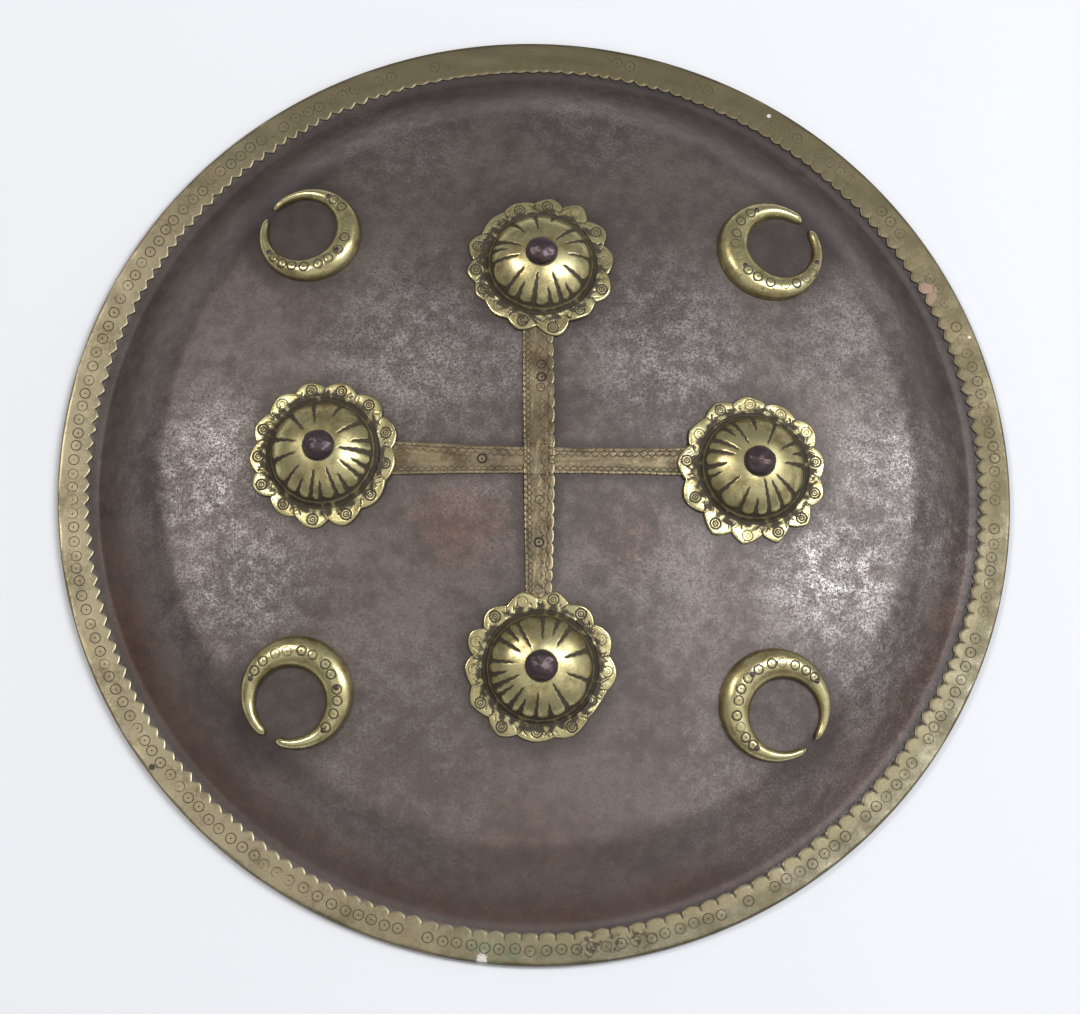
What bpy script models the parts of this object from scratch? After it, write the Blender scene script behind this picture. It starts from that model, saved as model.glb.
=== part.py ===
"""Dhal: a round domed steel shield with a folded brass border, a cross of two brass straps,
four petalled brass bosses under iron buttons, and four brass crescents held by small pins.

It lies crown up on its border. The origin is the centre of the border's underside, +Z runs up
through the crown, and +X and +Y run along the arms of the cross. All lengths are in metres.
"""

import math

import bmesh
import bpy
from mathutils import Matrix, Vector

# The steel bowl
RIM_RADIUS = 0.190
CROWN_HEIGHT = 0.048
CROWN_CURVE = 0.83  # the crown falls by CROWN_CURVE times the radius squared
SHOULDER_RADIUS = 0.146
FOOT_RADIUS = 0.1745
SHOULDER_HANDLE = 0.012
FOOT_HANDLE = 0.0055
STEEL = 0.0013
CROWN_RINGS = (0.045, 0.085, 0.118, SHOULDER_RADIUS)
SHOULDER_STEPS = 4
BOWL_SIDES = 64

# Every piece is laid this far from its neighbour
GAP = 0.0003

# The border, a brass band folded over the edge of the bowl
BORDER_SHEET = 0.0007
BORDER_FRONT = 0.013
BORDER_BACK = 0.008
TOOTH_DEPTH = 0.0028
TEETH_PER_SIDE = 3
BORDER_SIDES = 64
EDGE_CHAMFER = 0.0008

# The strap cross
STRAP_SHEET = 0.0006
STRAP_WIDTH = 0.0116
STRAP_HALF_LENGTH = 0.0585
STRAP_STATIONS = 8
LAP_HALF_LENGTH = 0.0085
LAP_SLOPE = 0.004

# The bosses. Each row: centre, direction of the strap below the flange, petal tips as (angle, radius)
BOSSES = {
    "top": (
        (-0.0008, 0.0811),
        270,
        ((7, 29.1), (34, 30.0), (60, 30.7), (83, 29.6), (108, 28.8), (138, 27.9), (165, 29.6),
         (189, 29.3), (207, 28.6), (226, 28.2), (257, 29.6), (278, 31.4), (312, 28.6), (337, 29.6)),
    ),
    "left": (
        (-0.0841, 0.0021),
        0,
        ((18, 29.5), (47, 29.9), (76, 29.5), (103, 29.6), (128, 29.8), (156, 29.4), (184, 29.1),
         (207, 30.2), (233, 28.8), (263, 30.0), (289, 30.3), (320, 28.9), (350, 28.8)),
    ),
    "right": (
        (0.0830, 0.0),
        180,
        ((7, 29.1), (38, 30.2), (63, 28.8), (94, 29.6), (120, 29.9), (149, 29.0), (177, 30.1),
         (210, 30.3), (238, 31.3), (265, 30.6), (292, 30.6), (315, 30.4), (344, 29.6)),
    ),
    "bottom": (
        (0.0014, -0.0811),
        90,
        ((27, 29.7), (54, 29.3), (79, 30.2), (106, 30.2), (133, 29.9), (159, 30.3), (181, 29.2),
         (211, 30.0), (238, 30.4), (265, 28.4), (300, 28.9), (330, 26.6), (356, 29.5)),
    ),
}
BOSS_SHEET = 0.0009
PETAL_NOTCH = 0.0272
PETAL_SHOULDER = 0.24  # part of a petal's width from its tip to where it rounds off
PETAL_ROUNDING = 0.0003
DOME_RADIUS = 0.0206
DOME_HEIGHT = 0.0125
DOME_SIDES = 18
DOME_STEPS = (20, 43, 66)  # degrees up the dome's quarter round
STRAP_SECTOR = 30  # degrees each side of a strap where the flange rides over it
STRAP_SECTOR_SLOPE = 18

# The iron rivets whose heads are the buttons
BUTTON_RADIUS = 0.0058
BUTTON_HEIGHT = 0.0036
SHANK_RADIUS = 0.0022
CLENCH_RADIUS = 0.0042
CLENCH_HEIGHT = 0.0014
RIVET_SIDES = 10

# The crescents. Each row: centre of the inner circle, its radius, radius of the outer circle,
# how far and in which direction that circle is shifted, direction of the mouth, pin directions
CRESCENTS = {
    "top_left": ((-0.0952, 0.0963), 0.0137, 0.0203, 0.0041, 322, 150, (51, 322, 220)),
    "top_right": ((0.0947, 0.0937), 0.0132, 0.0213, 0.0046, 208, 45, (126, 217, 337)),
    "bottom_left": ((-0.0940, -0.0946), 0.0137, 0.0218, 0.0045, 58, 241, (150, 17, 322)),
    "bottom_right": ((0.0961, -0.0952), 0.0140, 0.0220, 0.0053, 137, 314, (48, 134, 229)),
}
MOUTH_HALF_ANGLE = 9
CRESCENT_STEPS = 16
CRESCENT_ARC_STEPS = 5
CRESCENT_LOW = 0.0013  # height of a crescent of no width
CRESCENT_RISE = 0.33  # added height for each unit of width
PIN_RADIUS = 0.0009
PIN_PROUD = 0.0002
PIN_CLENCH = 0.0008
PIN_SIDES = 6

# name: linear colour, roughness, metallic
FINISHES = {
    "browned_steel": ((0.105, 0.086, 0.082), 0.48, 0.85),
    "border_brass": ((0.170, 0.135, 0.062), 0.42, 0.90),
    "strap_brass": ((0.200, 0.160, 0.070), 0.45, 0.90),
    "polished_brass": ((0.330, 0.285, 0.105), 0.28, 0.95),
    "blackened_iron": ((0.070, 0.050, 0.055), 0.38, 0.80),
}


def clear_scene():
    for obj in list(bpy.data.objects):
        bpy.data.objects.remove(obj)


def finish(name):
    """The named material, made at its first use."""
    made = bpy.data.materials.get(name)
    if made:
        return made
    colour, roughness, metallic = FINISHES[name]
    made = bpy.data.materials.new(name)
    made.use_nodes = True
    shader = made.node_tree.nodes["Principled BSDF"]
    shader.inputs["Base Color"].default_value = (*colour, 1.0)
    shader.inputs["Roughness"].default_value = roughness
    shader.inputs["Metallic"].default_value = metallic
    return made


def add_object(name, bm, finish_name, matrix=None, sharp_angle=35):
    """Closes off a bmesh as a smooth-shaded object with its sharp edges kept."""
    bmesh.ops.recalc_face_normals(bm, faces=bm.faces)
    mesh = bpy.data.meshes.new(name)
    bm.to_mesh(mesh)
    bm.free()
    mesh.shade_smooth()
    mesh.set_sharp_from_angle(angle=math.radians(sharp_angle))
    mesh.materials.append(finish(finish_name))
    obj = bpy.data.objects.new(name, mesh)
    if matrix is not None:
        obj.matrix_world = matrix
    bpy.context.scene.collection.objects.link(obj)
    return obj


def polar(radius, degrees):
    angle = math.radians(degrees)
    return radius * math.cos(angle), radius * math.sin(angle)


def smooth_step(x):
    x = min(max(x, 0.0), 1.0)
    return x * x * (3 - 2 * x)


def ring(bm, points):
    return [bm.verts.new(point) for point in points]


def circle(bm, radius, z, sides):
    return ring(bm, [(*polar(radius, 360 * i / sides), z) for i in range(sides)])


def bridge(bm, first, second):
    """Quads between two closed rings with as many vertices each."""
    for i in range(len(first)):
        j = (i + 1) % len(first)
        bm.faces.new((first[i], first[j], second[j], second[i]))


def bridge_all(bm, rings):
    for first, second in zip(rings, rings[1:]):
        bridge(bm, first, second)


def zip_rings(bm, first, first_angles, second, second_angles):
    """Triangles between two closed rings whose vertices lie at the angles given, in rising order."""
    ends = (len(first), len(second))
    i = j = 0
    while i < ends[0] or j < ends[1]:
        next_first = first_angles[(i + 1) % ends[0]] + 360 * ((i + 1) // ends[0])
        next_second = second_angles[(j + 1) % ends[1]] + 360 * ((j + 1) // ends[1])
        corner_first, corner_second = first[i % ends[0]], second[j % ends[1]]
        if j >= ends[1] or (i < ends[0] and next_first <= next_second):
            bm.faces.new((corner_first, first[(i + 1) % ends[0]], corner_second))
            i += 1
        else:
            bm.faces.new((corner_first, second[(j + 1) % ends[1]], corner_second))
            j += 1


def crown_height(x, y):
    return CROWN_HEIGHT - CROWN_CURVE * (x * x + y * y)


def crown_normal(x, y):
    return Vector((2 * CROWN_CURVE * x, 2 * CROWN_CURVE * y, 1.0)).normalized()


def seat(centre):
    """Frame on the crown at (x, y): its Z is the surface's normal and its X leans towards +X."""
    x, y = centre
    normal = crown_normal(x, y)
    across = normal.cross(Vector((1.0, 0.0, 0.0))).normalized()
    along = across.cross(normal)
    turn = Matrix((along, across, normal)).transposed().to_4x4()
    return Matrix.Translation((x, y, crown_height(x, y))) @ turn


def fall(frame, u, v):
    """How far the crown lies along the frame's Z at (u, v) of it, below zero where it falls away."""
    point = frame @ Vector((u, v, 0.0))
    normal = frame.col[2].to_3d()
    return (crown_height(point.x, point.y) - point.z) * normal.z


def bowl_profile():
    """The outer line as (radius, height, normal), from the first crown ring out to the edge."""
    line = []
    for radius in CROWN_RINGS:
        normal = crown_normal(radius, 0.0)
        line.append((radius, crown_height(radius, 0.0), normal.x, normal.z))
    slope = crown_normal(SHOULDER_RADIUS, 0.0)
    flange_top = BORDER_SHEET + GAP + STEEL
    start = Vector((SHOULDER_RADIUS, crown_height(SHOULDER_RADIUS, 0.0)))
    end = Vector((FOOT_RADIUS, flange_top))
    start_handle = start + SHOULDER_HANDLE * Vector((slope.z, -slope.x))
    end_handle = end - FOOT_HANDLE * Vector((1.0, 0.0))
    for step in range(1, SHOULDER_STEPS + 1):
        t = step / SHOULDER_STEPS
        s = 1 - t
        point = s**3 * start + 3 * s * s * t * start_handle + 3 * s * t * t * end_handle + t**3 * end
        tangent = s * s * (start_handle - start) + 2 * s * t * (end_handle - start_handle)
        tangent = (tangent + t * t * (end - end_handle)).normalized()
        line.append((point.x, point.y, -tangent.y, tangent.x))
    line.append((RIM_RADIUS - BORDER_SHEET - GAP, flange_top, 0.0, 1.0))
    return line


def make_bowl():
    bm = bmesh.new()
    profile = bowl_profile()
    outer = [circle(bm, r, z, BOWL_SIDES) for r, z, _, _ in profile]
    inner_line = [(r - STEEL * nr, z - STEEL * nz) for r, z, nr, nz in profile]
    inner = [circle(bm, r, z, BOWL_SIDES) for r, z in inner_line]
    bridge_all(bm, outer)
    bridge_all(bm, inner)
    bridge(bm, outer[-1], inner[-1])
    for first_ring, height in ((outer[0], CROWN_HEIGHT), (inner[0], CROWN_HEIGHT - STEEL)):
        pole = bm.verts.new((0.0, 0.0, height))
        for i in range(BOWL_SIDES):
            bm.faces.new((pole, first_ring[i], first_ring[(i + 1) % BOWL_SIDES]))
    return add_object("bowl", bm, "browned_steel")


def make_border():
    """A channel round the edge: front leaf with a toothed inner edge, rounded fold, plain back leaf."""
    bm = bmesh.new()
    sheet = BORDER_SHEET
    under = sheet + GAP
    over = under + STEEL + GAP
    top = over + sheet
    channel_wall = RIM_RADIUS - sheet
    back_edge = RIM_RADIUS - BORDER_BACK
    tip_radius = RIM_RADIUS - BORDER_FRONT
    teeth = BORDER_SIDES * TEETH_PER_SIDE
    tooth_points = 2 * teeth
    tooth_angles = [360 * i / tooth_points for i in range(tooth_points)]
    side_angles = [360 * i / BORDER_SIDES for i in range(BORDER_SIDES)]

    def toothed(z):
        radii = [tip_radius + TOOTH_DEPTH * (i % 2) for i in range(tooth_points)]
        return ring(bm, [(*polar(r, a), z) for r, a in zip(radii, tooth_angles)])

    front_inner, front_under_inner = toothed(top), toothed(over)
    plain = [
        circle(bm, radius, z, BORDER_SIDES)
        for radius, z in (
            (RIM_RADIUS - EDGE_CHAMFER, top),
            (RIM_RADIUS, top - EDGE_CHAMFER),
            (RIM_RADIUS, EDGE_CHAMFER),
            (RIM_RADIUS - EDGE_CHAMFER, 0.0),
            (back_edge, 0.0),
            (back_edge, sheet),
            (channel_wall, sheet),
            (channel_wall, over),
        )
    ]
    bridge_all(bm, plain)
    bridge(bm, front_inner, front_under_inner)
    zip_rings(bm, front_inner, tooth_angles, plain[0], side_angles)
    zip_rings(bm, front_under_inner, tooth_angles, plain[-1], side_angles)
    add_object("rim_border", bm, "border_brass")


def strap_lift(distance):
    """Extra height of the upper strap over the lower one, at a distance from the crossing."""
    return (STRAP_SHEET + GAP) * smooth_step((LAP_HALF_LENGTH + LAP_SLOPE - abs(distance)) / LAP_SLOPE)


def make_strap(name, along, upper):
    """A flat strap bent to the crown along the unit direction given."""
    bm = bmesh.new()
    across = Vector((-along.y, along.x))
    step = STRAP_HALF_LENGTH / STRAP_STATIONS
    lap_stations = [LAP_HALF_LENGTH, LAP_HALF_LENGTH + LAP_SLOPE]
    stations = sorted({step * i for i in range(-STRAP_STATIONS, STRAP_STATIONS + 1)})
    if upper:
        lap_end = lap_stations[-1] + step / 2
        stations = [s for s in stations if abs(s) > lap_end or abs(s) < step / 2]
        stations = sorted(stations + lap_stations + [-s for s in lap_stations])
    sections = []
    for station in stations:
        corners = []
        for side, level in ((-1, GAP), (1, GAP), (1, GAP + STRAP_SHEET), (-1, GAP + STRAP_SHEET)):
            spot = along * station + across * (side * STRAP_WIDTH / 2)
            height = level + (strap_lift(station) if upper else 0.0)
            base = Vector((spot.x, spot.y, crown_height(spot.x, spot.y)))
            corners.append(base + crown_normal(spot.x, spot.y) * height)
        sections.append(ring(bm, corners))
    bridge_all(bm, sections)
    bm.faces.new(sections[0])
    bm.faces.new(sections[-1])
    add_object(name, bm, "strap_brass")


def petal_outline(tips):
    """Angles and radii round a flange: a notch and two rounded shoulders for each petal tip."""
    outline = []
    for i, (angle, tip_mm) in enumerate(tips):
        before = tips[i - 1][0] - (360 if i == 0 else 0)
        after = tips[(i + 1) % len(tips)][0] + (360 if i == len(tips) - 1 else 0)
        tip = tip_mm / 1000
        outline.append(((before + angle) / 2, min(PETAL_NOTCH, tip - GAP)))
        outline.append((angle - PETAL_SHOULDER * (angle - before), tip - PETAL_ROUNDING))
        outline.append((angle + PETAL_SHOULDER * (after - angle), tip - PETAL_ROUNDING))
    return sorted((angle % 360, radius) for angle, radius in outline)


def flange_lift(degrees, strap_direction):
    """Height by which the flange rides over the end of a strap, at an angle round the boss."""
    off = abs((degrees - strap_direction + 180) % 360 - 180)
    inside = (STRAP_SECTOR + STRAP_SECTOR_SLOPE - off) / STRAP_SECTOR_SLOPE
    return (STRAP_SHEET + GAP) * smooth_step(inside)


def make_boss(name, centre, strap_direction, tips):
    """A hollow dome on a thin petalled flange that follows the crown, open underneath."""
    bm = bmesh.new()
    frame = seat(centre)
    outline = petal_outline(tips)
    outline_angles = [angle for angle, _ in outline]
    dome_angles = [360 * i / DOME_SIDES for i in range(DOME_SIDES)]

    def lying_ring(places, level):
        points = []
        for angle, radius in places:
            u, v = polar(radius, angle)
            points.append((u, v, level + fall(frame, u, v) + flange_lift(angle, strap_direction)))
        return ring(bm, points)

    def dome_rings(sheet_under):
        rings = []
        for step in DOME_STEPS:
            radius, height = polar(1.0, step)
            level = GAP + BOSS_SHEET + (DOME_HEIGHT - BOSS_SHEET) * height - sheet_under * height
            rings.append(circle(bm, (DOME_RADIUS - sheet_under) * radius, level, DOME_SIDES))
        rings.append(circle(bm, SHANK_RADIUS + GAP, GAP + DOME_HEIGHT - sheet_under, DOME_SIDES))
        return rings

    top = GAP + BOSS_SHEET
    flange_top = lying_ring(outline, top)
    flange_under = lying_ring(outline, GAP)
    foot_top = lying_ring([(angle, DOME_RADIUS) for angle in dome_angles], top)
    foot_under = lying_ring([(angle, DOME_RADIUS - BOSS_SHEET) for angle in dome_angles], GAP)
    outer, inner = dome_rings(0.0), dome_rings(BOSS_SHEET)
    bridge(bm, flange_top, flange_under)
    zip_rings(bm, flange_top, outline_angles, foot_top, dome_angles)
    zip_rings(bm, flange_under, outline_angles, foot_under, dome_angles)
    bridge_all(bm, [foot_top] + outer)
    bridge_all(bm, [foot_under] + inner)
    bridge(bm, outer[-1], inner[-1])
    add_object("boss_" + name, bm, "polished_brass", frame)


def capped_lathe(name, finish_name, frame, profile, sides):
    """A solid turned round the frame's Z from (radius, height) pairs, with flat ends."""
    bm = bmesh.new()
    rings = [circle(bm, radius, z, sides) for radius, z in profile]
    bridge_all(bm, rings)
    bm.faces.new(rings[0])
    bm.faces.new(rings[-1])
    return add_object(name, bm, finish_name, frame)


def make_boss_rivet(name, centre):
    """A domed button on the boss, its shank through boss and bowl, clenched behind the bowl."""
    button_foot = DOME_HEIGHT + 2 * GAP
    clench_top = -STEEL - GAP
    profile = [
        (0.5 * CLENCH_RADIUS, clench_top - CLENCH_HEIGHT),
        (CLENCH_RADIUS, clench_top - 0.4 * CLENCH_HEIGHT),
        (CLENCH_RADIUS, clench_top),
        (SHANK_RADIUS, clench_top),
        (SHANK_RADIUS, button_foot),
        (0.92 * BUTTON_RADIUS, button_foot),
        (BUTTON_RADIUS, button_foot + 0.25 * BUTTON_HEIGHT),
        (0.82 * BUTTON_RADIUS, button_foot + 0.72 * BUTTON_HEIGHT),
        (0.38 * BUTTON_RADIUS, button_foot + BUTTON_HEIGHT),
    ]
    capped_lathe("boss_rivet_" + name, "blackened_iron", seat(centre), profile, RIVET_SIDES)


def outer_reach(degrees, outer_radius, shift, shift_direction):
    """Distance from the inner circle's centre to the shifted outer circle."""
    turn = math.radians(degrees - shift_direction)
    return shift * math.cos(turn) + math.sqrt(outer_radius**2 - (shift * math.sin(turn)) ** 2)


def crescent_height(width):
    return CRESCENT_LOW + CRESCENT_RISE * width


def make_crescent(name, centre, hole_radius, outer_radius, shift, shift_direction, mouth):
    """A half-round crescent lying on the crown, open towards the mouth direction."""
    bm = bmesh.new()
    frame = seat(centre)
    start = mouth + MOUTH_HALF_ANGLE
    sweep = 360 - 2 * MOUTH_HALF_ANGLE
    sections = []
    for step in range(CRESCENT_STEPS + 1):
        angle = start + sweep * step / CRESCENT_STEPS
        width = outer_reach(angle, outer_radius, shift, shift_direction) - hole_radius
        height = crescent_height(width)
        corners = []
        for part in range(CRESCENT_ARC_STEPS + 1):
            across, up = polar(1.0, 180 * part / CRESCENT_ARC_STEPS)
            u, v = polar(hole_radius + width * (1 + across) / 2, angle)
            corners.append((u, v, GAP + fall(frame, u, v) + height * up))
        sections.append(ring(bm, corners))
    bridge_all(bm, sections)
    bm.faces.new(sections[0])
    bm.faces.new(sections[-1])
    return add_object("crescent_" + name, bm, "polished_brass", frame, sharp_angle=60)


def pin_seat(frame, angle, row):
    """Frame of a pin at the middle of a crescent's width, and the crescent's height there."""
    _, hole_radius, outer_radius, shift, shift_direction, _, _ = row
    width = outer_reach(angle, outer_radius, shift, shift_direction) - hole_radius
    u, v = polar(hole_radius + width / 2, angle)
    spot = frame @ Vector((u, v, 0.0))
    return seat((spot.x, spot.y)), crescent_height(width)


def make_drill(name, frame, radius, low, high, sides):
    """A cutter round the frame's Z, left out of the object itself."""
    drill = capped_lathe(name, "blackened_iron", frame, [(radius, low), (radius, high)], sides)
    drill.hide_render = True
    drill.display_type = "WIRE"
    return drill


def cut(obj, drill):
    modifier = obj.modifiers.new(drill.name, "BOOLEAN")
    modifier.operation = "DIFFERENCE"
    modifier.object = drill


def main():
    clear_scene()
    bowl = make_bowl()
    make_border()
    make_strap("strap_horizontal", Vector((1.0, 0.0)), upper=False)
    make_strap("strap_vertical", Vector((0.0, 1.0)), upper=True)
    for name, (centre, strap_direction, tips) in BOSSES.items():
        make_boss(name, centre, strap_direction, tips)
        make_boss_rivet(name, centre)
        reach = 4 * STEEL
        hole = SHANK_RADIUS + GAP
        cut(bowl, make_drill("drill_boss_" + name, seat(centre), hole, -reach, reach, RIVET_SIDES))
    for name, row in CRESCENTS.items():
        crescent = make_crescent(name, *row[:6])
        for number, angle in enumerate(row[6], start=1):
            frame, height = pin_seat(seat(row[0]), angle, row)
            low = -STEEL - PIN_CLENCH
            high = GAP + height + PIN_PROUD
            profile = [(PIN_RADIUS, low), (PIN_RADIUS, high)]
            pin_name = f"pin_{name}_{number}"
            capped_lathe(pin_name, "blackened_iron", frame, profile, PIN_SIDES)
            hole = PIN_RADIUS + GAP
            drill = make_drill("drill_" + pin_name, frame, hole, 2 * low, 2 * high, PIN_SIDES)
            cut(bowl, drill)
            cut(crescent, drill)


main()
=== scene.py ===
"""Looks of the dhal: a round domed steel shield with a brass border, a strap cross, four petalled
bosses and four crescents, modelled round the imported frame. Lengths are in metres, angles in degrees."""

import math

import bpy
import numpy as np
from mathutils import Matrix, Vector


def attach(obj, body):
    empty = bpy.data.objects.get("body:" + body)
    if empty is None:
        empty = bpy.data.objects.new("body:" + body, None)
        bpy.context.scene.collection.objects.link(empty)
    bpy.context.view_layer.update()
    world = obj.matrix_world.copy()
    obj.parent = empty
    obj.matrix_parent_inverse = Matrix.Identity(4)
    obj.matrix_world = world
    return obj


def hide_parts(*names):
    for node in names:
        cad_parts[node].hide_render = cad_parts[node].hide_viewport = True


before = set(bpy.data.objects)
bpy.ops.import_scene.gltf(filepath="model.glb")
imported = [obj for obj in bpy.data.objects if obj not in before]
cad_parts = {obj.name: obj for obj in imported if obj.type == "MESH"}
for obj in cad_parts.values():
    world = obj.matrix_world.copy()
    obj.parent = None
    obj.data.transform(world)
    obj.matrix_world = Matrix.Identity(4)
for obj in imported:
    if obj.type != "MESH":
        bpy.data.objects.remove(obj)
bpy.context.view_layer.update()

bl_info = {
    "name": "Dhal round shield",
    "version": (1, 0, 0),
    "blender": (4, 5, 0),
    "location": "View3D > Sidebar > Dhal",
    "description": "Models and finishes a brass mounted steel dhal, piece by piece",
    "category": "Add Mesh",
}

MM = 0.001
GAP = 0.3 * MM
POLE = 1e-7
MERGE = 2e-6

# The bowl, as in the frame
RIM_RADIUS = 190 * MM
CROWN_HEIGHT = 48 * MM
CROWN_CURVE = 0.83
SHOULDER_RADIUS = 146 * MM
FOOT_RADIUS = 174.5 * MM
SHOULDER_HANDLE = 12 * MM
FOOT_HANDLE = 5.5 * MM
STEEL = 1.3 * MM
BORDER_SHEET = 0.7 * MM
BORDER_TOP = 3.3 * MM
BORDER_FRONT = 13 * MM
BORDER_BACK = 8 * MM
STRAP_SHEET = 0.6 * MM
STRAP_HALF_LENGTH = 58.5 * MM
BOSS_SHEET = 0.9 * MM
DOME_RADIUS = 20.6 * MM
DOME_HEIGHT = 12.5 * MM
FLANGE_RADIUS = 29 * MM
GUTTER_RADIUS = 22.6 * MM
SHANK_RADIUS = 2.2 * MM
PIN_RADIUS = 0.9 * MM

# Bosses: centre, direction of the strap below, directions of the long and of the short flutes
BOSSES = {
    "top": (
        (-0.8 * MM, 81.1 * MM), 270,
        (0, 25, 45, 98, 127, 160, 188, 225, 261, 296, 330),
        (75, 172, 241, 281, 308),
    ),
    "left": (
        (-84.1 * MM, 2.1 * MM), 0,
        (35, 100, 132, 167, 194, 224, 260, 290, 325, 355),
        (10, 68, 243, 272, 305, 339),
    ),
    "right": (
        (83.0 * MM, 0.0), 180,
        (2, 33, 66, 120, 151, 166, 219, 250, 286, 304, 324),
        (18, 94, 132, 185, 197, 270),
    ),
    "bottom": (
        (1.4 * MM, -81.1 * MM), 90,
        (21, 54, 89, 120, 147, 174, 204, 232, 265, 304, 345),
        (71, 133, 190, 216, 246, 283),
    ),
}

# Crescents: centre, hole radius, outer radius, its shift and the shift's direction, mouth, pins,
# and the punched row's first and last direction and how many rings it has
CRESCENTS = {
    "top_left": ((-95.2, 96.3), 13.7, 20.3, 4.1, 322, 150, (51, 322, 220), (41, -129, 12)),
    "top_right": ((94.7, 93.7), 13.2, 21.3, 4.6, 208, 45, (126, 217, 337), (138, 321, 12)),
    "bottom_left": ((-94.0, -94.6), 13.7, 21.8, 4.5, 58, 241, (150, 17, 322), (140, -31, 12)),
    "bottom_right": ((96.1, -95.2), 14.0, 22.0, 5.3, 137, 314, (48, 134, 229), (53, 224, 13)),
}
MOUTH_HALF_ANGLE = 9
CRESCENT_LOW = 1.3 * MM
CRESCENT_RISE = 0.33


# ---------------------------------------------------------------- shapes of the frame


def crown_height(x, y):
    return CROWN_HEIGHT - CROWN_CURVE * (x * x + y * y)


def seat(centre):
    """Frame on the crown at (x, y): its Z is the surface's normal and its X leans towards +X."""
    x, y = centre
    normal = Vector((2 * CROWN_CURVE * x, 2 * CROWN_CURVE * y, 1.0)).normalized()
    across = normal.cross(Vector((1.0, 0.0, 0.0))).normalized()
    turn = Matrix((across.cross(normal), across, normal)).transposed().to_4x4()
    return Matrix.Translation((x, y, crown_height(x, y))) @ turn


def fall(place, u, v):
    """How far the crown lies along the place's Z at (u, v) of it; u and v may be arrays."""
    x = place[0][0] * u + place[0][1] * v + place[0][3]
    y = place[1][0] * u + place[1][1] * v + place[1][3]
    z = place[2][0] * u + place[2][1] * v + place[2][3]
    return (crown_height(x, y) - z) * place[2][2]


def polar(radius, degrees):
    angle = math.radians(degrees)
    return radius * math.cos(angle), radius * math.sin(angle)


def smooth(x):
    x = np.clip(x, 0.0, 1.0)
    return x * x * (3 - 2 * x)


def between(low, high, x):
    """0 below low, 1 above high, smooth in between."""
    return smooth((x - low) / (high - low))


def hump(x, width):
    """1 at x = 0, falling to almost nothing at two widths."""
    return np.exp(-((x / width) ** 2))


def turn_apart(a, b):
    """Signed difference of two directions in degrees, from -180 to 180."""
    return (a - b + 180) % 360 - 180


# ---------------------------------------------------------------- bench tools


def alone():
    """Leaves nothing selected, in object mode."""
    if bpy.context.mode != "OBJECT":
        bpy.ops.object.mode_set(mode="OBJECT")
    bpy.ops.object.select_all(action="DESELECT")


def pick(*objs):
    alone()
    for obj in objs:
        obj.select_set(True)
    bpy.context.view_layer.objects.active = objs[0]


def named(name):
    """The object just added by a primitive operator, under its own name."""
    obj = bpy.context.active_object
    obj.name = name
    obj.data.name = name
    return obj


def edit_all():
    bpy.ops.object.mode_set(mode="EDIT")
    bpy.ops.mesh.select_mode(type="VERT")
    bpy.ops.mesh.select_all(action="SELECT")


def close_up(obj):
    """Merges seams and poles and turns every face outwards."""
    pick(obj)
    edit_all()
    bpy.ops.mesh.remove_doubles(threshold=MERGE)
    bpy.ops.mesh.normals_make_consistent(inside=False)
    bpy.ops.object.mode_set(mode="OBJECT")


def turned(name, profile, sides, domed=False):
    """A piece drawn out ring by ring round Z through (radius, height) points, as if on a lathe.
    A domed piece starts from a filled disc, and any other is a closed band."""
    alone()
    radius, height = profile[0]
    bpy.ops.mesh.primitive_circle_add(
        vertices=sides,
        radius=radius,
        fill_type="TRIFAN" if domed else "NOTHING",
        location=(0, 0, height),
    )
    obj = named(name)
    bpy.ops.object.transform_apply(location=True)
    bpy.ops.object.mode_set(mode="EDIT")
    bpy.ops.mesh.select_mode(type="EDGE")
    bpy.ops.mesh.select_all(action="DESELECT")
    bpy.ops.mesh.select_non_manifold()
    for (radius, height), (next_radius, next_height) in zip(profile, profile[1:]):
        move = {"value": (0, 0, next_height - height)}
        bpy.ops.mesh.extrude_region_move(TRANSFORM_OT_translate=move)
        grow = next_radius / radius
        bpy.ops.transform.resize(value=(grow, grow, 1), center_override=(0, 0, next_height))
    close_up(obj)
    return obj


def swept(name, profile, count, sweep):
    """A closed section of (radius, height) points spun part of the way round Z, its ends filled."""
    alone()
    x, z = profile[0]
    bpy.ops.mesh.primitive_plane_add(size=MM, location=(x, 0, z))
    obj = named(name)
    bpy.ops.object.transform_apply(location=True)
    edit_all()
    bpy.ops.mesh.merge(type="CENTER")
    for (x, z), (next_x, next_z) in zip(profile, profile[1:]):
        move = {"value": (next_x - x, 0, next_z - z)}
        bpy.ops.mesh.extrude_region_move(TRANSFORM_OT_translate=move)
    bpy.ops.mesh.select_all(action="SELECT")
    bpy.ops.mesh.remove_doubles(threshold=MERGE)
    bpy.ops.mesh.spin(steps=count, angle=math.radians(sweep), center=(0, 0, 0), axis=(0, 0, 1))
    bpy.ops.mesh.select_mode(type="EDGE")
    bpy.ops.mesh.select_all(action="DESELECT")
    bpy.ops.mesh.select_non_manifold()
    bpy.ops.mesh.edge_face_add()
    bpy.ops.object.mode_set(mode="OBJECT")
    close_up(obj)
    return obj


def points_of(obj):
    co = np.empty(len(obj.data.vertices) * 3, np.float32)
    obj.data.vertices.foreach_get("co", co)
    return co.reshape(-1, 3).astype(float)


def normals_of(obj):
    found = np.empty(len(obj.data.vertices) * 3, np.float32)
    obj.data.vertices.foreach_get("normal", found)
    return found.reshape(-1, 3).astype(float)


def move_points(obj, co):
    obj.data.vertices.foreach_set("co", co.astype(np.float32).ravel())
    obj.data.update()


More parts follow.
